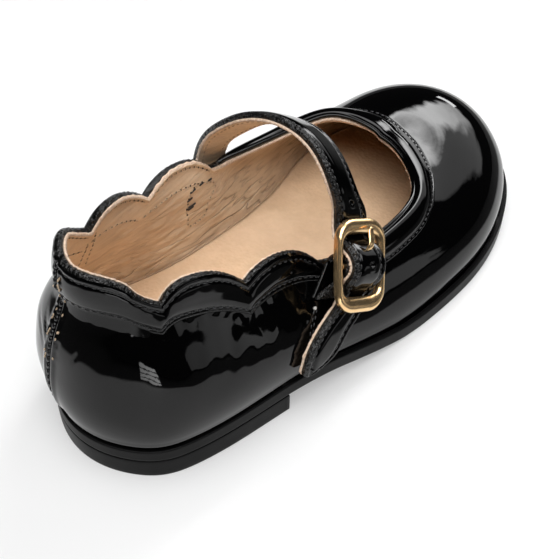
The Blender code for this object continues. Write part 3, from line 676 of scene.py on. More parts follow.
def leatherRelief(row, climb, below, band, points):
    collar = collarShare(row)[:, None]
    throat = 1 - collar
    onBand = smoothStep(-0.16, 0.1, band - below)
    height = -leather["bandThick"] * (1 - onBand)
    # heel and quarters drawn in under the padded band, and full again lower down
    under = below - band
    pull = collar * (1 - 0.55 * smoothStep(2.6, 4.2, np.abs(aroundFrom(row, 0))))
    tuck = np.where(under > 0, hump(under, leather["tuckReach"]), 1 - smoothStep(0, 3.0, -under))
    height += pull * (leather["belly"] * hump(under - leather["bellyAt"], 6) - leather["tuck"] * tuck)
    # collar band: rounded edge, sewn row, soft padding down to the lower row
    fromRow = below - leather["edgeRow"]
    span = np.clip(fromRow / np.maximum(band - leather["edgeRow"] - 1, 1), 0, 1)
    height += collar * onBand * (leather["padding"] * np.sin(np.pi * span) - 0.26 * hump(fromRow, 0.42)
                                 - 0.16 * hump(below - band + leather["stitchIn"], 0.35)
                                 - 0.30 * (1 - smoothStep(0, 0.7, below)))
    # throat band: one soft roll from the lining's edge down to the sewn row
    roll = np.clip((below - 0.2) / np.maximum(band - 1.1, 1), 0, 1)
    height += throat * onBand * (leather["throatRoll"] * np.sin(np.pi * roll ** 0.85) ** 0.8
                                 - 0.22 * hump(below - band + leather["throatStitchIn"], 0.4))
    # puckers drawn by the sewn rows
    pucker = ripple(points, 3.6, 5)
    sewn = leather["pucker"] * hump(below - band - 1.0, 1.8) + 0.06 * hump(fromRow, 1.4)
    height += pucker * (collar * sewn + 0.012 * throat * hump(below - band, 1.1))
    # slow unevenness, stronger at the quarters than on the toe
    soft = leather["wave"] * ripple(points, 15.0, 11) + 0.015 * ripple(points, 6.0, 12)
    calmHeel = 0.25 + 0.75 * smoothStep(15, 21, climb)
    height += soft * (0.35 + 0.65 * collar * calmHeel) * smoothStep(3, 9, climb)
    # back seam: a groove with raised lips, puckered where it is torn
    side = aroundFrom(row, backSeam["row"]) * backSeam["rowLength"]
    seam = sum(rise * hump(side - at, width) for at, rise, width in backSeam["lips"])
    height += seam * (1 - 0.45 * onBand) * smoothStep(0, 3, climb)
    torn = sum(hump(side - at, width) for at, width in backSeam["torn"])
    height += backSeam["tear"] * ripple(points, 2.6, 21) * torn * smoothStep(16, 21, climb)
    return height + leatherFoot(climb)


def leatherFoot(climb):   # the foot is tucked in above the sole
    return -leather["footTuck"] * np.exp(-climb / leather["footReach"])


# Climbs close together: round the band's lower line, and below the collar's edge.
lowLineSteps = np.array([-0.7, -0.4, -0.2, -0.08, 0.04, 0.16, 0.32, 0.6])
edgeSteps = np.array([2.9, 2.6, 2.35, 2.1, 1.85, 1.6, 1.35, 1.1, 0.85, 0.6, 0.35, 0.15, 0.0])


def makeLeather():
    row = leatherRows()
    full = climbToEdge(row)
    band = bandWidth(row)
    low = full - band
    even = np.linspace(0, np.pi, leather["bodySteps"]) * 0.62
    shares = (1 - np.cos(even)) / (1 - math.cos(np.pi * 0.62))
    body = (low[:, None] - 1.1) * shares
    step = low[:, None] + lowLineSteps
    upper = low[:, None] + 1.0 + (band[:, None] - 1.0 - 3.2) * np.linspace(0, 1, leather["bandSteps"])
    edge = full[:, None] - edgeSteps
    climb = np.concatenate([body, step, upper, edge], 1)
    below = full[:, None] - climb
    points = upperGrid(row, climb)
    normals = normalGrid(row, climb)
    height = leatherRelief(row, climb, below, band[:, None], points) + creaseHeight(points)
    calm = smoothStep(0.2, 3.0, climb)
    outside = points + normals * (height * calm + leatherFoot(climb) * (1 - calm))[..., None]
    # over the rim and down the inside
    depth = leatherDepth(row)
    collar = collarShare(row)
    rising = unit(points[:, -1] - points[:, -4])
    start = height[:, -1]
    rim = []
    for share in np.linspace(0, 1, 9)[1:]:
        across = start + (-depth - start) * share
        throatRim = leather["throatRim"] * math.sqrt(max(1 - (2 * share - 1) ** 2, 0))
        roll = (1 - collar) * throatRim + collar * leather["collarRim"] * math.sin(math.pi * share)
        line = points[:, -1] + normals[:, -1] * across[:, None] + rising * roll[:, None]
        rim.append(line + rising * (leather["rimGrain"] * collar * ripple(line, 0.9, 44))[:, None])
    inside = []
    for share in (0.97, 0.8, 0.6, 0.4, 0.2, 0.06):
        thinner = collar * leather["rimExtra"] * (share < 0.9)
        inside.append(onUpper(row, full * share, thinner - depth))
    columns = [outside[:, k] for k in range(outside.shape[1])] + rim + inside
    faces = gridFaces(len(columns), len(row), True)
    granular = np.zeros((len(columns), len(row)), int)
    granular[outside.shape[1] - 1:outside.shape[1] + len(rim)] = collar > 0.5
    addPiece("upper_leather", np.concatenate(columns), faces, (patent, cutEdge),
             ("upper",), granular.ravel())


def leatherDepth(row):
    return leather["collarDepth"] * collarShare(row) + leather["throatDepth"] * (1 - collarShare(row))


def sewnLine(rows, below, lift):   # a stitch path on the upper's outer face
    rows = np.asarray(rows, float)
    full = climbToEdge(rows)
    below = np.broadcast_to(below, rows.shape)
    climb = full - below
    points = upperPoint(rows, climb)
    normals = upperNormal(rows, climb)
    band = bandWidth(rows)
    height = leatherRelief(rows, climb[:, None], below[:, None], band[:, None], points[:, None])[:, 0]
    height += creaseHeight(points)
    return np.column_stack([points + normals * (height + lift)[:, None], normals])


# From row, to row: the sewn lines run from notch to notch.
collarSpans = ((-3.25, 3.36), (3.44, 4.66), (4.74, 6.05), (18.05, 19.16), (19.24, 20.66))
bandSpans = ((-3.2, 3.24), (3.26, 4.61), (4.63, 6.0), (17.95, 19.32), (19.34, 20.78))


def sewUpper():
    top = [sewnLine(np.linspace(start, end, 160), leather["edgeRow"], 0.05) for start, end in collarSpans]
    sew("collar_top_stitches", top, blackThread)
    low = []
    for start, end in bandSpans:
        rows = np.linspace(start, end, 160)
        low.append(sewnLine(rows, bandWidth(rows) - leather["stitchIn"], 0.06))
    sew("collar_band_stitches", low, blackThread)
    rows = np.linspace(6.3, 17.6, 600)
    throat = [sewnLine(rows, bandWidth(rows) - 0.45, 0.03)]
    sew("throat_stitches", throat, blackThread)
    sew("back_seam_stitches", [backLine(-0.085, 1.2, 1.2, 0.35)], shinyThread)
    draw = np.random.default_rng(7)
    flecks = []
    for offset, start, short in ((0.16, 20.0, 1.0), (-0.19, 16.0, 5.0)):
        line = backLine(offset, start, short, 0.1)
        for at in np.sort(draw.uniform(0, 118, 11)).astype(int):
            flecks.append(line[[at, at + 1]])
            flecks[-1][:, :3] += draw.normal(scale=0.12, size=3)
    sew("back_seam_flecks", flecks, tanThread)


def backLine(offset, start, short, lift):   # up the back, a little to one side of the seam
    row = np.full(120, lastFrame["rows"] + backSeam["row"] + offset)
    full = climbToEdge(row)
    climb = start + (full - start - short) * np.linspace(0, 1, 120)
    return sewnLine(row, full - climb, lift)


lining = {"drop": 0.1, "steps": 84, "edgeRow": 1.6, "lowRowIn": 1.4, "seam": 20.6, "seamGap": 0.11,
          "groove": 0.30, "pad": 0.45, "padReach": 3.6, "foot": 0.4}
liningWrinkles = (   # row, climb, length, width, depth, turn
    (20.0, 10.0, 16.0, 0.9, 0.20, 4), (19.5, 12.5, 18.0, 1.0, 0.22, 5), (19.0, 9.0, 15.0, 0.9, 0.20, 2),
    (18.6, 11.5, 14.0, 0.9, 0.18, 6), (20.6, 13.0, 14.0, 1.1, 0.20, 8), (18.2, 8.0, 14.0, 0.8, 0.16, 2),
    (17.6, 9.5, 14.0, 0.9, 0.16, 4), (21.2, 9.0, 12.0, 1.0, 0.18, 6), (20.3, 16.5, 12.0, 1.1, 0.18, 6),
    (18.9, 14.5, 11.0, 1.0, 0.14, 12))


def liningHeight(points, row, below):
    rise = np.zeros(points.shape[:-1])
    for place, climb, length, width, depth, turn in liningWrinkles:
        x, y, deep = alongCrease(points, place, climb, turn, -upperSizes["wall"])
        q = ((y - 0.35 * np.sin(x * 0.45 + place)) / width) ** 2
        rise -= depth * np.exp(-(x / length * 1.5) ** 2 - (deep / 8) ** 4) * (1 - 0.5 * q) * np.exp(-q * 0.7)
    fine = ripple(points * (0.25, 1, 1.15), 2.6, 31) * smoothStep(4, 12, below)
    return rise + (0.05 + 0.06 * collarShare(row)[:, None]) * fine + 0.10 * ripple(points, 9.0, 32)


def rimPad(row, below):   # the collar is a little thicker at its edge
    return lining["pad"] * collarShare(row)[:, None] * (1 - smoothStep(0.6, lining["padReach"], below))


def makeLining():
    row = leatherRows()
    full = climbToEdge(row)
    depth = leatherDepth(row)
    collar = collarShare(row)
    fray = 0.10 * ripple(np.column_stack([row * 16, row * 0, row * 0]), 1.6, 41) + 0.06
    shares = np.linspace(1, 0.0, lining["steps"]) ** 1.15
    climb = lining["foot"] + (full - lining["drop"] + fray - lining["foot"])[:, None] * shares
    below = full[:, None] - climb
    normals = normalGrid(row, climb)
    surface = upperGrid(row, climb)
    inner = surface - normals * upperSizes["wall"]
    rise = liningHeight(inner, row, below) * smoothStep(0.0, 3.0, below)
    for start in (lining["seam"], backSeam["row"]):
        rise -= lining["groove"] * hump(aroundFrom(row, start) * 10, 0.4) * smoothStep(1.5, 3.0, below)
    rise -= 0.16 * collar[:, None] * hump(below - lining["edgeRow"], 0.4)
    bead = 0.16 * (1 - smoothStep(0, 0.35, below)) - 0.28 * hump(below - 0.75, 0.45)
    pad = rimPad(row, below)
    inner = inner - normals * (rise - bead + pad)[..., None]
    up = unit(surface[:, 0] - surface[:, 2])
    outer = []
    for k in range(0, lining["steps"], 9):
        behind = depth + 0.06 - (k > 0) * leather["rimExtra"] * collar
        outer.append(surface[:, k] - normals[:, k] * behind[:, None])
    outer[0] = outer[0] - up * 0.15
    middle = (depth + upperSizes["wall"] + pad[:, 0]) / 2
    raised = 0.42 - 0.22 * collar + 0.5 * fray
    crown = surface[:, 0] - normals[:, 0] * middle[:, None] + up * raised[:, None]
    columns = outer[::-1] + [crown] + [inner[:, k] for k in range(lining["steps"])]
    faces = gridFaces(len(columns), len(row), True)
    raw = np.zeros((len(columns), len(row)), int)
    raw[len(outer) - 1:len(outer) + 2] = 1
    addPiece("lining", np.concatenate(columns), faces, (liningTan, rawEdge), (), raw.ravel())


def liningLine(rows, below, lift):   # a stitch path on the lining
    rows = np.asarray(rows, float)
    below = np.broadcast_to(below, rows.shape)
    climb = climbToEdge(rows) - below
    normals = upperNormal(rows, climb)
    points = upperPoint(rows, climb) - normals * upperSizes["wall"]
    rise = liningHeight(points[:, None], rows, below[:, None])[:, 0] * smoothStep(0, 3, below)
    rise = rise + rimPad(rows, below[:, None])[:, 0]
    return np.column_stack([points - normals * (rise + lift)[:, None], -normals])


def shifted(line, reach):   # the same line starting further along
    steps = np.append(0, np.cumsum(np.linalg.norm(np.diff(line[:, :3], axis=0), axis=1)))
    ends = [np.interp(reach, steps, line[:, i]) for i in range(line.shape[1])]
    return np.vstack([ends, line[steps > reach]])


liningEdgeSpans = ((-3.25, 3.35), (3.45, 4.65), (4.75, 6.0), (18.05, 19.15), (19.25, 20.65))
liningLowSpans = ((-3.2, 3.2), (3.3, 4.6), (4.66, 5.6), (18.3, 19.3), (19.36, 20.78))


def sewLining():
    lines = [liningLine(np.linspace(start, end, 120), lining["edgeRow"], -0.05)
             for start, end in liningEdgeSpans]
    for start, end in liningLowSpans:
        rows = np.linspace(start, end, 120)
        lines.append(liningLine(rows, bandWidth(rows) - lining["lowRowIn"], 0.02))
    for offset in (-lining["seamGap"], lining["seamGap"]):
        lines.append(liningLine(np.full(60, lining["seam"] + offset), np.linspace(3.6, 18, 60), 0.02))
    sew("lining_stitches", lines, tanThread)
    holes = [shifted(line, 0.95) for line in lines]
    sew("lining_stitch_holes", holes, stitchHole)


# Insole, outsole and heel, each a stack of rings from low to high.
insole = {"clear": 0.42, "around": 300, "across": 56}
insoleEdge = ((0.0, 2.2), (0.0, 0.9), (0.06, 0.55), (0.25, 0.26), (0.55, 0.08), (0.95, 0.0))   # inset, drop
insoleHollows = ((22, 0, 16, 11, 0.55), (104, 2, 20, 15, 0.45))   # x, y, length, width, depth
outsole = {"around": 480, "across": 20}
outsoleEdge = (   # inset, share of the thickness
    (1.6, 0.0), (0.26, 0.0), (0.1, 0.012), (0.03, 0.035), (0.0, 0.07), (0.0, 0.2), (0.0, 0.4), (0.0, 0.6),
    (0.0, 0.8), (0.0, 0.92), (0.04, 0.955), (0.12, 0.985), (0.3, 1.0), (0.6, 1.0), (1.4, 1.0))
heelBlock = {"breast": 45.5, "half": 110, "round": 0.5}
heelEdge = (   # inset, height
    (1.4, 0.0), (0.5, 0.0), (0.28, 0.06), (0.14, 0.2), (0.08, 0.45), (0.06, 1.4), (0.05, 3.0), (0.05, 4.6),
    (0.05, 5.6), (0.08, 5.8), (0.2, 5.92), (1.4, 5.95))
plainCap = 12   # steps across a cap that is not seen
footShares = np.array([0.0, 0.03, 0.07, 0.11, 0.15, 0.19, 0.24, 0.28, 0.33, 0.38, 0.48, 0.58])


def stackRings(rings, across, topHeight=None, lowAcross=plainCap, lowHeight=None):   # points and faces
    count = len(rings[0])
    start = len(rings) * count
    top, topFaces = ladderCap(rings[-1], across, topHeight, start - count, start)
    low, lowFaces = ladderCap(rings[0], lowAcross, lowHeight, 0, start + len(top), flip=True)
    return np.concatenate(rings + [top, low]), gridFaces(len(rings), count, False) + topFaces + lowFaces


def innerFoot(row, heightAt):   # points on the upper's inner wall at a height worked out from x
    climb = climbToEdge(row)[:, None] * footShares
    lines = upperGrid(row, climb) - normalGrid(row, climb) * upperSizes["wall"]
    foot = upperPoint(row, 0) - outwardAt(row) * upperSizes["wall"]
    foot[:, 2] = soleTop(foot[:, 0]) + upperSizes["gap"]
    lines[:, 0] = foot
    points = []
    for line in lines:
        level = float(heightAt(line[1, 0]))
        points.append([np.interp(level, line[:, 2], line[:, axis]) for axis in (0, 1)])
    return np.array(points)


def sockTop(points):   # a little hollow under the heel and the ball of the foot
    x, y = points[:, 0], points[:, 1]
    hollow = sum(depth * hump(x - atX, length) * hump(y - atY, width)
                 for atX, atY, length, width, depth in insoleHollows)
    return insoleTop(x) - hollow + 0.06 * ripple(points * (1, 1, 0), 9.0, 51)


def makeInsole():
    row = np.arange(insole["around"]) * lastFrame["rows"] / insole["around"]
    out = outwardAt(row)[:, :2]
    rings = []
    for inset, drop in insoleEdge:
        points = innerFoot(row, lambda x: insoleTop(x) - drop) - out * (insole["clear"] + inset)
        rings.append(np.column_stack([points, insoleTop(points[:, 0]) - drop]))
    bottom = rings[0].copy()
    bottom[:, 2] = np.minimum(soleTop(bottom[:, 0]) + upperSizes["gap"], bottom[:, 2] - 0.3)
    bottom[:, :2] -= out * 0.1
    points, faces = stackRings([bottom] + rings, insole["across"], sockTop)
    addPiece("insole_sock", points, faces, (sockTan,), ("insole",))


def levelRing(row, inset, heightAt):
    points = outlineCurve(row)[:, :2] - outwardAt(row)[:, :2] * inset
    return np.column_stack([points, heightAt(points[:, 0])])


def makeOutsole():
    row = np.arange(outsole["around"]) * lastFrame["rows"] / outsole["around"]
    rings = [levelRing(row, inset, lambda x: underside(x) * (1 - share) + soleTop(x) * share)
             for inset, share in outsoleEdge]
    across = outsole["across"]
    points, faces = stackRings(rings, across, None, across, lambda low: underside(low[:, 0]))
    addPiece("sole_edge", points, faces, (rubber,), ("outsole",))


def breastRows():   # where the outline crosses the heel's front face
    found = []
    for low, high in ((3.0, 6.0), (18.0, 21.0)):
        rows = np.linspace(low, high, 601)
        found.append(rows[np.argmin(np.abs(outlineCurve(rows)[:, 0] - heelBlock["breast"]))])
    return found


def makeHeel():
    outer, inner = breastRows()
    share = np.arange(heelBlock["half"] + 1) / heelBlock["half"]
    row = np.concatenate([outer * share, (inner - lastFrame["rows"]) * share[:0:-1]])
    rings = []
    for inset, level in heelEdge:
        ring = levelRing(row, inset, lambda x: np.minimum(level, underside(x) - upperSizes["gap"]))
        ring[:, 0] = np.minimum(ring[:, 0], heelBlock["breast"] - min(inset, heelBlock["round"]))
        rings.append(ring)
    points, faces = stackRings(rings, plainCap)
    addPiece("heel_lift", points, faces, (rubber,), ("heel_block",))


# Strap, chape and buckle.
buckle = {"middle": (70.0, -26.6, 32.5), "across": (0.89, -0.17, -0.42), "up": (0.455, 0.49, 0.74),
          "halfWidth": 7.3, "halfLength": 11.2, "corner": 4.8, "swell": 0.5, "sideBar": 1.9, "endBar": 3.8,
          "depth": 2.3, "barRadius": 0.7, "barSink": 0.8, "barSteps": 9, "barSides": 20, "cornerSteps": 16,
          "sideSteps": 16}
strap = {"thickness": 2.4, "leather": 1.6, "stitchIn": 1.75, "along": 520, "tip": 6.5, "cut": 0.78,
         "lines": 45}
strapRoot = (   # rear row, rear climb, front row, front climb, lift
    (18.28, 5.0, 17.66, 4.0, 2.85), (18.22, 10.0, 17.62, 9.0, 2.95), (18.12, 15.5, 17.55, 14.0, 3.6))
strapArch = (   # rear x, rear y, rear z, front x, front y, front z
    (66.0, 30.7, 28.0, 75.6, 31.3, 25.6), (67.1, 28.7, 38.0, 76.9, 29.1, 33.4),
    (68.0, 22.2, 47.6, 78.4, 22.8, 41.0), (69.6, 14.4, 54.6, 80.0, 15.4, 47.4),
    (71.6, 6.0, 58.2, 81.1, 7.0, 51.0), (72.6, -2.0, 58.6, 81.7, -1.0, 51.9),
    (72.3, -10.0, 56.0, 80.7, -10.3, 49.3), (70.7, -16.8, 49.2, 78.5, -18.0, 43.8))
strapThroughBuckle = (   # rear across, rear up, front across, front up, out
    (-5.5, 11.0, 4.4, 11.0, -1.7), (-5.2, 7.7, 4.7, 7.7, -1.65), (-5.05, 4.9, 5.05, 4.9, 1.1),
    (-5.05, 2.5, 5.05, 2.5, 3.4), (-5.05, 0.0, 5.05, 0.0, 4.1), (-5.05, -2.5, 5.05, -2.5, 3.4),
    (-5.05, -4.9, 5.05, -4.9, 1.1), (-4.0, -7.85, 4.6, -8.2, -1.6), (-5.25, -10.1, 2.75, -11.9, -2.1))
strapTail = (   # rear row, rear climb, front row, front climb, lift
    (5.37, 13.2, 5.8, 9.2, 3.6), (5.05, 10.2, 5.52, 5.9, 3.2), (4.88, 4.6, 5.22, 2.35, 3.1))
prongHole = (0.3, 3.2, 2.8)   # across, up and out from the buckle's middle
strapHoles = (-14.0, -7.5, 3.4)   # where the other holes lie along the strap, from the prong's


def buckleAxes():
    up = unit(buckle["up"])
    across = unit(np.array(buckle["across"]) - np.dot(buckle["across"], up) * up)
    return across, up, np.cross(across, up)


def inBuckle(across, up, out, sink=0.0):   # a point given in the buckle's directions
    a, u, o = buckleAxes()
    flat = np.broadcast_arrays(*(np.asarray(v, float)[..., None] for v in (across, up, np.add(out, -sink))))
    return np.array(buckle["middle"]) + flat[0] * a + flat[1] * u + flat[2] * o


def strapFace():   # rear and front edges of the strap's outer face, from root to tail
    edges = []

    def onShoe(table):
        for rearRow, rearClimb, frontRow, frontClimb, lift in table:
            edges.append(np.concatenate([onUpper(rearRow, rearClimb, [lift])[0],
                                         onUpper(frontRow, frontClimb, [lift])[0]]))
    onShoe(strapRoot)
    edges.extend(np.array(line) for line in strapArch)
    for rearAcross, rearUp, frontAcross, frontUp, out in strapThroughBuckle:
        edges.append(np.concatenate([inBuckle(rearAcross, rearUp, out), inBuckle(frontAcross, frontUp, out)]))
    onShoe(strapTail)
    return openCurve(edges)


def strapStations():   # half width, middle, directions across and out, and how far along
    face = strapFace()
    edges = face(np.linspace(0, face.knots[-1], strap["along"]))
    rear, front = edges[:, :3], edges[:, 3:]
    middle = (rear + front) / 2
    across = unit(front - rear)
    out = unit(np.cross(across, -unit(np.gradient(middle, axis=0))))
    lengths = np.append(0, np.cumsum(np.linalg.norm(np.diff(middle, axis=0), axis=1)))
    rear, front = shapeTip(rear, front, lengths)
    return np.linalg.norm(front - rear, axis=1) / 2, (rear + front) / 2, across, out, lengths


def shapeTip(rear, front, lengths):   # the tail's front corner is rounded off towards the rear edge
    fromEnd = lengths[-1] - lengths
    left = np.clip(fromEnd / strap["tip"], 0, 1)
    cut = 1 - strap["cut"] * (1 - np.sqrt(np.maximum(1 - (1 - left) ** 2.2, 0)))
    near = np.clip(fromEnd / 0.8, 0, 1)
    tuck = 0.08 * (1 - np.sqrt(np.maximum(1 - (1 - near) ** 2, 0)))
    return rear + (front - rear) * tuck[:, None], rear + (front - rear) * cut[:, None]


def prongAlong(middle, lengths):   # where the prong goes through
    return lengths[np.argmin(np.linalg.norm(middle - inBuckle(*prongHole), axis=1))]


def strapTop(x, half):   # height of the outer face across the strap
    edge = half - np.abs(x)
    height = -0.55 * (1 - smoothStep(0, 0.85, edge)) ** 1.6 - 0.30 * hump(edge - strap["stitchIn"], 0.42)
    return height + 0.20 * smoothStep(strap["stitchIn"], strap["stitchIn"] + 1.6, edge)


def makeStrap():
    half, middle, across, out, lengths = strapStations()
    spot = prongAlong(middle, lengths)
    deep, total = strap["leather"], strap["thickness"]
    shares = np.sin(np.linspace(-1, 1, strap["lines"]) * np.pi / 2 * 0.94)
    shares = shares / shares[-1]
    outer = []
    for share in shares:
        x = share * half
        height = strapTop(x, half)
        for hole in strapHoles:
            near = np.hypot(x, lengths - spot - hole)
            height = height - 0.75 * (1 - smoothStep(0.45, 0.75, near)) + 0.10 * hump(near - 1.15, 0.35)
        point = middle + across * x[:, None] + out * height[:, None]
        outer.append(point + out * (0.012 * ripple(point, 9.0, 61))[:, None])

    def below(share, down, aside=0.0):
        return middle + across * (share * half + aside)[:, None] - out * down
    rough = [0.06 * ripple(middle, 1.1, 70 + k) for k in range(4)]
    columns = outer + [below(0.994, 0.75, rough[0]), below(0.996, 1.25, rough[1]), below(0.988, deep)]
    columns += [below(share, deep) for share in (0.6, 0.2, -0.2, -0.6)]
    columns += [below(-0.988, deep), below(-0.996, 1.25, -rough[2]), below(-0.994, 0.75, -rough[3])]
    grain = [int(share < -0.80 or share > 0.93) for share in shares] + [1] * 10
    addBand("strap_leather", columns, grain, (strapPatent, cutEdge), ("strap",))
    # the lining stands out a little past the leather, with a frayed edge
    fray = [0.16 * ripple(middle, 1.1, 80 + k) for k in range(2)]
    columns = [below(share, deep + 0.05) for share in (-0.97, -0.5, 0.0, 0.5, 0.97)]
    columns += [below(1.0, deep + 0.12, 0.22 + fray[0]), below(1.0, total - 0.12, 0.10 + fray[0])]
    columns += [below(0.96, total)]
    columns += [below(share, total - 0.05 * math.cos(share * 2)) for share in (0.6, 0.2, -0.2, -0.6)]
    columns += [below(-0.96, total)]
    columns += [below(-1.0, total - 0.12, -0.10 - fray[1]), below(-1.0, deep + 0.12, -0.24 - fray[1])]
    grain = [0] * 4 + [1] * 3 + [0] * 5 + [1] * 3
    addBand("strap_lining", columns, grain, (liningTan, rawEdge))


def sewStrap():
    half, middle, across, out, lengths = strapStations()
    keep = (half > 3.2) & (lengths > 1.0)
    hidden = (lengths > 8) & (lengths < prongAlong(middle, lengths) - 12)
    lines, under = [], []
    for side in (-1, 1):
        x = side * (half - strap["stitchIn"])
        points = middle + across * x[:, None]
        lines.append(np.column_stack([points + out * (strapTop(x, half) + 0.06)[:, None], out])[keep])
        under.append(np.column_stack([points - out * (strap["thickness"] + 0.02), -out])[hidden])
    last = np.flatnonzero(keep)[-1]
    reach = half[last] - strap["stitchIn"]
    tipLine = []   # joins both rows round the tail
    for side in np.linspace(-1, 1, 12):
        k = min(last + int(round(3 * (1 - side * side))), len(half) - 3)
        lift = strapTop(side * reach, half[last]) + 0.06
        tipLine.append(np.concatenate([middle[k] + across[k] * side * reach + out[k] * lift, out[k]]))
    lines.append(np.array(tipLine))
    sew("strap_under_stitches", under, tanThread)
    sew("strap_stitches", lines, blackThread)


def addBand(name, columns, grain, finishes, stands=()):   # lines side by side, closed at both ends
    count = len(columns[0])
    faces = gridFaces(len(columns), count, True, closedRound=False)
    marks = np.repeat(grain, count - 1).tolist()
    for end in (0, count - 1):
        ring = [k * count + end for k in range(len(columns))]
        half = len(ring) // 2
        faces.append([ring[0], ring[1], ring[-1]])
        for k in range(1, half - 1):
            faces.append([ring[k], ring[k + 1], ring[-k - 1], ring[-k]])
        faces.append(ring[half - 1:half + 2 + len(ring) % 2])
    marks += [1] * (len(faces) - len(marks))
    turnOut(addPiece(name, np.concatenate(columns), faces, finishes, stands, marks))


def turnOut(piece):   # faces point outwards
    work = bmesh.new()
    work.from_mesh(piece.data)
    bmesh.ops.recalc_face_normals(work, faces=work.faces)
    work.to_mesh(piece.data)
    work.free()


buckleSection = (   # share of the way from the inner edge, height in half depths
    (0.30, -1), (0.14, -0.98), (0.05, -0.85), (0.0, -0.55), (0.0, -0.2), (0.02, 0.1), (0.07, 0.32),
    (0.16, 0.56), (0.28, 0.76), (0.42, 0.92), (0.56, 1.0), (0.70, 0.97), (0.82, 0.84), (0.91, 0.62),
    (0.97, 0.32), (1.0, 0.0), (1.0, -0.3), (0.98, -0.65), (0.93, -0.9), (0.84, -1), (0.6, -1))
chape = {"ply": 0.9, "width": 9.8, "stitchIn": 1.3, "sewnFrom": 0.72}
chapePath = (   # up, out, along
    (-7.5, -5.25, 4.9), (-4.2, -5.25, 3.0), (-1.0, -5.3, 1.2), (1.2, -4.9, 0.2), (2.3, -3.2, 0.0),
    (2.3, -1.2, 0.0), (1.4, 0.7, 0.0), (0.0, 1.5, 0.0), (-1.4, 0.8, 0.0), (-2.8, -1.2, 0.0),
    (-4.5, -3.3, 0.6), (-6.2, -4.1, 3.2), (-7.8, -4.1, 4.9))
prong = {"width": 1.7, "thickness": 0.8, "clearance": 0.2, "sides": 18}
prongPath = (   # up, out, aside towards the toe
    (1.6, 1.5, 0.1), (2.6, 2.3, 0.2), (3.6, 3.1, 0.3), (4.9, 3.8, 0.6), (6.3, 3.7, 0.9),
    (7.8, 3.1, 1.3), (9.2, 2.8, 1.7))


def alongPath(path):   # places along a path that lies in the buckle's side view
    at = np.linspace(0, path.knots[-1], 150)
    up, out, aside = path(at).T
    slopes = unit(np.gradient(np.stack([up, out], 1), axis=0))
    upward, outward = buckleAxes()[1:]
    return at, up, out, aside, slopes[:, :1] * outward - slopes[:, 1:] * upward


def makeChape():
    path = openCurve(chapePath)
    at, up, out, along, outward = alongPath(path)
    centres = inBuckle(-along, up, out, buckle["barSink"])
    across = buckleAxes()[0]
    half, ply = chape["width"] / 2, chape["ply"]
    section = []   # across, out
    for x in np.concatenate([[-half], np.linspace(-half + 0.15, half - 0.15, 25), [half]]):
        edge = half - abs(x)
        section.append((x, 0.5 * ply - 0.22 * (edge < 0.01) - 0.16 * hump(edge - chape["stitchIn"], 0.35)))
    section += [(half, -0.1 * ply), (half - 0.1, -0.5 * ply), (half * 0.4, -0.5 * ply),
                (-half * 0.4, -0.5 * ply), (-half + 0.1, -0.5 * ply), (-half, -0.1 * ply)]
    columns = [centres + across * x + outward * y for x, y in section]
    addBand("chape_loop", columns, [0] * 26 + [1] * 7, (strapPatent, cutEdge),
            ("chape",))
    slot = smoothStep(1.6, 2.6, np.hypot(up - 0.4, out - 0.6))   # the prong turns in it
    keep = (at > path.knots[-1] * chape["sewnFrom"]) & (slot > 0.5)
    lines = []
    for side in (-1, 1):
        points = centres + across * side * (half - chape["stitchIn"]) + outward * (0.5 * ply - 0.1)
        lines.append(np.column_stack([points, outward])[keep])
    sew("chape_stitches", lines, blackThread)


def roundedRectangle(halfWidth, halfLength, radius):   # its long sides swell out a little
    cornerSteps, sideSteps = buckle["cornerSteps"], buckle["sideSteps"]
    points = []
    for turn, (sx, sy) in enumerate(((1, 1), (-1, 1), (-1, -1), (1, -1))):
        for step in range(cornerSteps + 1):
            angle = math.pi / 2 * (turn + step / cornerSteps)
            points.append((sx * (halfWidth - radius) + radius * math.cos(angle),
                           sy * (halfLength - radius) + radius * math.sin(angle)))
        start = np.array(points[-1])
        end = start * ((-1, 1) if turn % 2 == 0 else (1, -1))
        points += [tuple(start + (end - start) * step / sideSteps) for step in range(1, sideSteps)]
    points = np.array(points)
    swell = buckle["swell"] * (1 - (points[:, 1] / buckle["halfLength"]) ** 2)
    points[:, 0] += swell * points[:, 0] / halfWidth
    return points


def makeBuckle():
    outer = roundedRectangle(buckle["halfWidth"], buckle["halfLength"], buckle["corner"])
    inner = roundedRectangle(buckle["halfWidth"] - buckle["sideBar"], buckle["halfLength"] - buckle["endBar"],
                             buckle["corner"] / 2)
    rings = []
    for share, level in buckleSection:
        flat = inner + (outer - inner) * share
        out = level * buckle["depth"] / 2
        wear = 0.05 * ripple(np.column_stack([flat, np.full(len(flat), out)]), 6.0, 91)
        rings.append(inBuckle(flat[:, 0], flat[:, 1], out + wear))
    points = np.concatenate(rings)
    faces = gridFaces(len(rings), len(outer), True)
    upward, outward = buckleAxes()[1:]
    reach = buckle["halfWidth"] - buckle["sideBar"] * 0.6
    steps, sides = buckle["barSteps"], buckle["barSides"]
    turn = np.linspace(0, 2 * np.pi, sides, endpoint=False)[:, None]
    rim = (np.cos(turn) * upward + np.sin(turn) * outward) * buckle["barRadius"]
    bar = [inBuckle(side * reach, 0, 0, buckle["barSink"]) + rim for side in np.linspace(-1, 1, steps)]
    base = len(points)
    faces += gridFaces(steps, sides, False, base=base)
    faces += [[base + level * sides + i for i in range(sides)] for level in (0, steps - 1)]
    turnOut(addPiece("buckle_ring", np.concatenate([points] + bar), faces, (brass,),
                     ("buckle_frame",)))


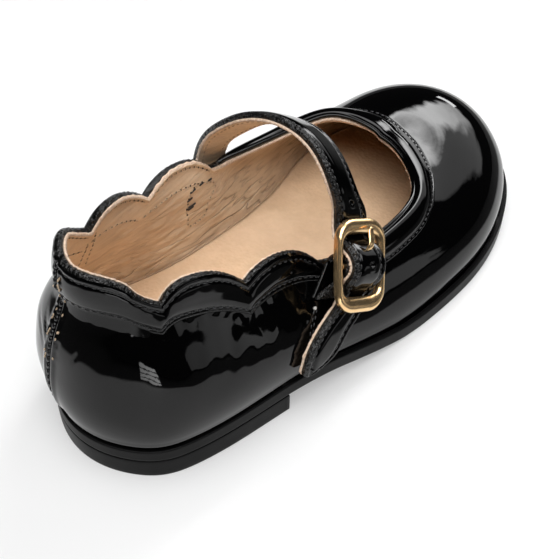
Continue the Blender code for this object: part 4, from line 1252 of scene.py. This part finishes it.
def makeProng():
    ringRadius = buckle["barRadius"] + prong["clearance"] + prong["thickness"] / 2
    turns = np.radians(np.linspace(-235, 40, 18))
    ring = [(ringRadius * math.cos(turn), ringRadius * math.sin(turn), 0.0) for turn in turns]
    path = openCurve(ring + list(prongPath))
    at, up, out, aside, outward = alongPath(path)
    centres = inBuckle(aside, up, out, buckle["barSink"])
    across = buckleAxes()[0]
    size = 1   # both ends are rounded
    for share in ((path.knots[-1] - at) / 1.1, at / 0.5):
        size = size * np.sqrt(np.maximum(1 - (1 - np.clip(share, 0, 1)) ** 2, 0.03))
    columns = []
    for turn in np.linspace(0, 2 * np.pi, prong["sides"], endpoint=False):
        x = abs(math.cos(turn)) ** 0.7 * math.copysign(1, math.cos(turn)) * prong["width"] / 2
        y = abs(math.sin(turn)) ** 0.8 * math.copysign(1, math.sin(turn)) * prong["thickness"] / 2
        columns.append(centres + across * (x * size)[:, None] + outward * (y * size)[:, None])
    addBand("buckle_pin", columns, [0] * prong["sides"], (brass, brass), ("buckle_prong",))


# Side seam and the strap's sewn outline inside.
sideSeam = ((5.58, 17.0), (5.33, 13.2), (5.12, 8.0), (5.04, 1.6))   # row, climb, down to the sole
anchorOutline = (   # row, climb on the inside, below the inner scallop
    (18.18, 20.0), (18.34, 21.5), (18.45, 21.2), (18.50, 19.4), (18.51, 15.4), (18.48, 12.5), (18.36, 9.2),
    (18.21, 9.7), (18.13, 12.3), (18.05, 14.9), (17.93, 17.4), (18.04, 19.0), (18.18, 20.0))
threadKnots = (   # row, climb
    (18.26, 20.7), (18.07, 20.0), (18.43, 20.9), (18.48, 19.0), (18.48, 16.6), (18.45, 15.9), (18.42, 16.5))


def sewDetails():
    table = np.array(sideSeam)
    row, climb = (np.interp(np.linspace(0, 3, 80), range(4), column) for column in table.T)
    lines = [sewnLine(rows, climbToEdge(rows) - climb, 0.05) for rows in (row - 0.03, row + 0.03)]
    sew("side_seam_stitches", lines, blackThread)
    ends = []
    for k in (0, -1):
        ends.append(lines[0][[k, k]] + 0)
        ends[-1][1, :3] += (0.5, 0, 0.2)
    sew("seam_end_knots", ends, paleThread)
    rowLength = 8   # millimetres from row to row there
    path = openCurve(np.array(anchorOutline) * (rowLength, 1))
    spots = path(np.linspace(0, path.knots[-1], 120))
    rows, climb = spots[:, 0] / rowLength, spots[:, 1]
    anchorLine = liningLine(rows, climbToEdge(rows) - climb, 0.05)
    sew("anchor_stitches", [anchorLine], tanThread)
    sew("anchor_stitch_holes", [shifted(anchorLine, 0.875)], stitchHole)
    knots = []
    for row, climb in threadKnots:
        rows = np.array([row - 0.035, row + 0.035])
        knots.append(liningLine(rows, climbToEdge(rows) - climb, 0.12))
    sew("anchor_knots", knots, blackThread)


print("upper")
makeLeather()
sewUpper()
print("lining")
makeLining()
sewLining()
print("insole and sole")
makeInsole()
makeOutsole()
makeHeel()
print("strap and buckle")
makeStrap()
sewStrap()
makeChape()
makeBuckle()
makeProng()
sewDetails()


# Floor, light and camera.
studio = {"world": 0.012, "lens": 75.0, "film": 36, "camera": (-74.4, -148.2, 234.9),
          "aim": (58.5, -6.5, 20.0)}
pool = {   # the painted pool of light on the floor, glowing a little inside and darkened by painted shade outside: its middle and way, then metres and shades
    "middle": (87.0, 25.0, 0.0), "way": (132.9, 141.7), "ahead": 0.128, "behind": 0.200, "left": 0.116,
    "right": 0.080, "waist": 0.105, "taper": 0.16, "fade": 1.12, "pale": 0.50, "far": 0.035, "poolGlow": 0.37,
    "floor": 6.0, "roughness": 0.7}
lights = (   # name, way round and up (degrees), distance, width and height (m), power, soft edge, glow, bars
    ("front_panel", 10, 40, 0.85, 0.83, 0.866, 3.1, 0.07, 8.5, 0),
    ("front_strip", 20, 14, 0.85, 0.13, 0.06, 0.20, 0.0, 0.0, 0),
    ("side_panel", -70, 7.5, 0.95, 0.60, 0.20, 0.34, 0.05, 0.0, 0),
    ("rear_window", -141.6, 6.4, 0.209, 0.070, 0.044, 0.050, 0.06, 0.0, 4),
    ("overhead", -150, 81, 0.95, 0.95, 0.95, 12.0, 0.0, 0.0, 0))


def makeFloor():
    size = pool["floor"] / 2
    corners = [(x * size, y * size, 0) for x, y in ((-1, -1), (1, -1), (1, 1), (-1, 1))]
    mesh = bpy.data.meshes.new("floor")
    mesh.from_pydata(corners, [], [(0, 1, 2, 3)])
    finish, tree, shader = newFinish("floor_painted_light_pool")
    turned = addNode(tree, "ShaderNodeMapping", {
        "Vector": placeOn(tree), "Location": inPart(pool["middle"]).tolist(),
        "Rotation": (0, 0, math.atan2(pool["way"][1], pool["way"][0]))}, vector_type="TEXTURE")
    away, aside = addNode(tree, "ShaderNodeSeparateXYZ", {"Vector": turned.outputs["Vector"]}).outputs[:2]
    # how far out in each direction, 1 at the pool's rounded outline
    waist = mathOf(tree, "ABSOLUTE", mathOf(tree, "ADD", away, pool["waist"]))
    right = mathOf(tree, "MULTIPLY_ADD", waist, -pool["taper"], -pool["right"])
    along = mathOf(tree, "MAXIMUM", mathOf(tree, "DIVIDE", away, pool["ahead"]),
                   mathOf(tree, "DIVIDE", away, -pool["behind"]))
    across = mathOf(tree, "MAXIMUM", mathOf(tree, "DIVIDE", aside, pool["left"]),
                    mathOf(tree, "DIVIDE", aside, right))
    share = mathOf(tree, "ADD", mathOf(tree, "POWER", along, 4.0), mathOf(tree, "POWER", across, 4.0))
    fade = rangeOf(tree, mathOf(tree, "POWER", share, 0.25), 1.0, pool["fade"], 0, 1)
    # painted light: the floor glows inside the pool; outside it the floor turns dark, a painted shade for
    # light falling off
    setInputs(tree, shader, {
        "Base Color": blendColours(tree, fade, [pool["pale"]] * 3, [pool["far"]] * 3),
        "Roughness": pool["roughness"], "Emission Color": (1, 1, 1, 1),
        "Emission Strength": rangeOf(tree, fade, 0, 1, pool["poolGlow"], 0)})
    mesh.materials.append(finish)
    floor = bpy.data.objects.new("floor", mesh)
    bpy.context.collection.objects.link(floor)


def aimAt(thing, target):
    way = Vector(target) - thing.location
    thing.rotation_euler = way.to_track_quat("-Z", "Y").to_euler()


def softenEdges(lamp, soft, glow, bars):
    # a cloudy panel with uneven soft edges; glow slants its sides and lights one corner, bars leave gaps
    lamp.use_nodes = True
    tree = lamp.node_tree
    spot = addNode(tree, "ShaderNodeNewGeometry").outputs["Parametric"]
    cloud = addNode(tree, "ShaderNodeTexNoise", {"Vector": spot, "Scale": 6.0, "Detail": 4.0})
    centred = addNode(tree, "ShaderNodeVectorMath", {0: cloud.outputs["Color"], 1: (0.5, 0.5, 0.5)},
                      operation="SUBTRACT")
    uneven = addNode(tree, "ShaderNodeVectorMath", {0: centred.outputs[0], 1: (0.22, 0.22, 0.0), 2: spot},
                     operation="MULTIPLY_ADD")
    along, up = addNode(tree, "ShaderNodeSeparateXYZ", {"Vector": uneven.outputs[0]}).outputs[:2]
    right, left, farRight = along, along, 0.97
    if glow:
        right = mathOf(tree, "MULTIPLY_ADD", up, -0.15, along)
        left = mathOf(tree, "MULTIPLY_ADD", up, -0.3, along)
        farRight = 0.69
    corner = mathOf(tree, "SUBTRACT", mathOf(tree, "MULTIPLY_ADD", along, 2.0, -0.55), up)
    patch = [rangeOf(tree, corner, -0.10, 0.10, 0, 1), rangeOf(tree, up, 0.12, 0.6, 0.2, 1.0),
             rangeOf(tree, along, 0.36, 0.48, 0, 1), glow]
    level = mathOf(tree, "ADD", rangeOf(tree, along, 0.0, 1.0, 0.7, 1.3), productOf(tree, patch))
    edges = [level, rangeOf(tree, right, farRight, farRight - soft, 0, 1),
             rangeOf(tree, left, -0.03, soft - 0.03, 0, 1),
             rangeOf(tree, up, 0.03, 0.03 + soft, 0, 1), rangeOf(tree, up, 0.97, 0.97 - soft, 0, 1)]
    if bars:
        gap = mathOf(tree, "FRACT", mathOf(tree, "MULTIPLY", up, bars))
        edges.append(rangeOf(tree, gap, 0.62, 0.78, 1, 0.1))
    tree.links.new(productOf(tree, edges), tree.nodes["Emission"].inputs["Strength"])


def makeLights():
    for name, way, high, distance, width, height, power, soft, glow, bars in lights:
        lamp = bpy.data.lights.new(name, "AREA")
        lamp.shape = "RECTANGLE"
        lamp.size = width
        lamp.size_y = height
        lamp.energy = power
        if soft:
            softenEdges(lamp, soft, glow, bars)
        light = bpy.data.objects.new(name, lamp)
        turn, rise = math.radians(way), math.radians(high)
        light.location = Vector((math.cos(rise) * math.cos(turn), math.cos(rise) * math.sin(turn),
                                 math.sin(rise))) * distance
        aimAt(light, (0, 0, 0.02))
        bpy.context.collection.objects.link(light)
    world = bpy.data.worlds.new("studio")
    bpy.context.scene.world = world
    world.use_nodes = True
    world.node_tree.nodes["Background"].inputs["Color"].default_value = (*[studio["world"]] * 3, 1)


def makeCamera():
    lens = bpy.data.cameras.new("camera")
    lens.lens = studio["lens"]
    lens.sensor_width = studio["film"]
    camera = bpy.data.objects.new("camera", lens)
    camera.location = inPart(studio["camera"])
    aimAt(camera, inPart(studio["aim"]))
    bpy.context.collection.objects.link(camera)
    bpy.context.scene.camera = camera
    bpy.context.scene.view_settings.view_transform = "Standard"


print("floor, light and camera")
makeFloor()
makeLights()
makeCamera()
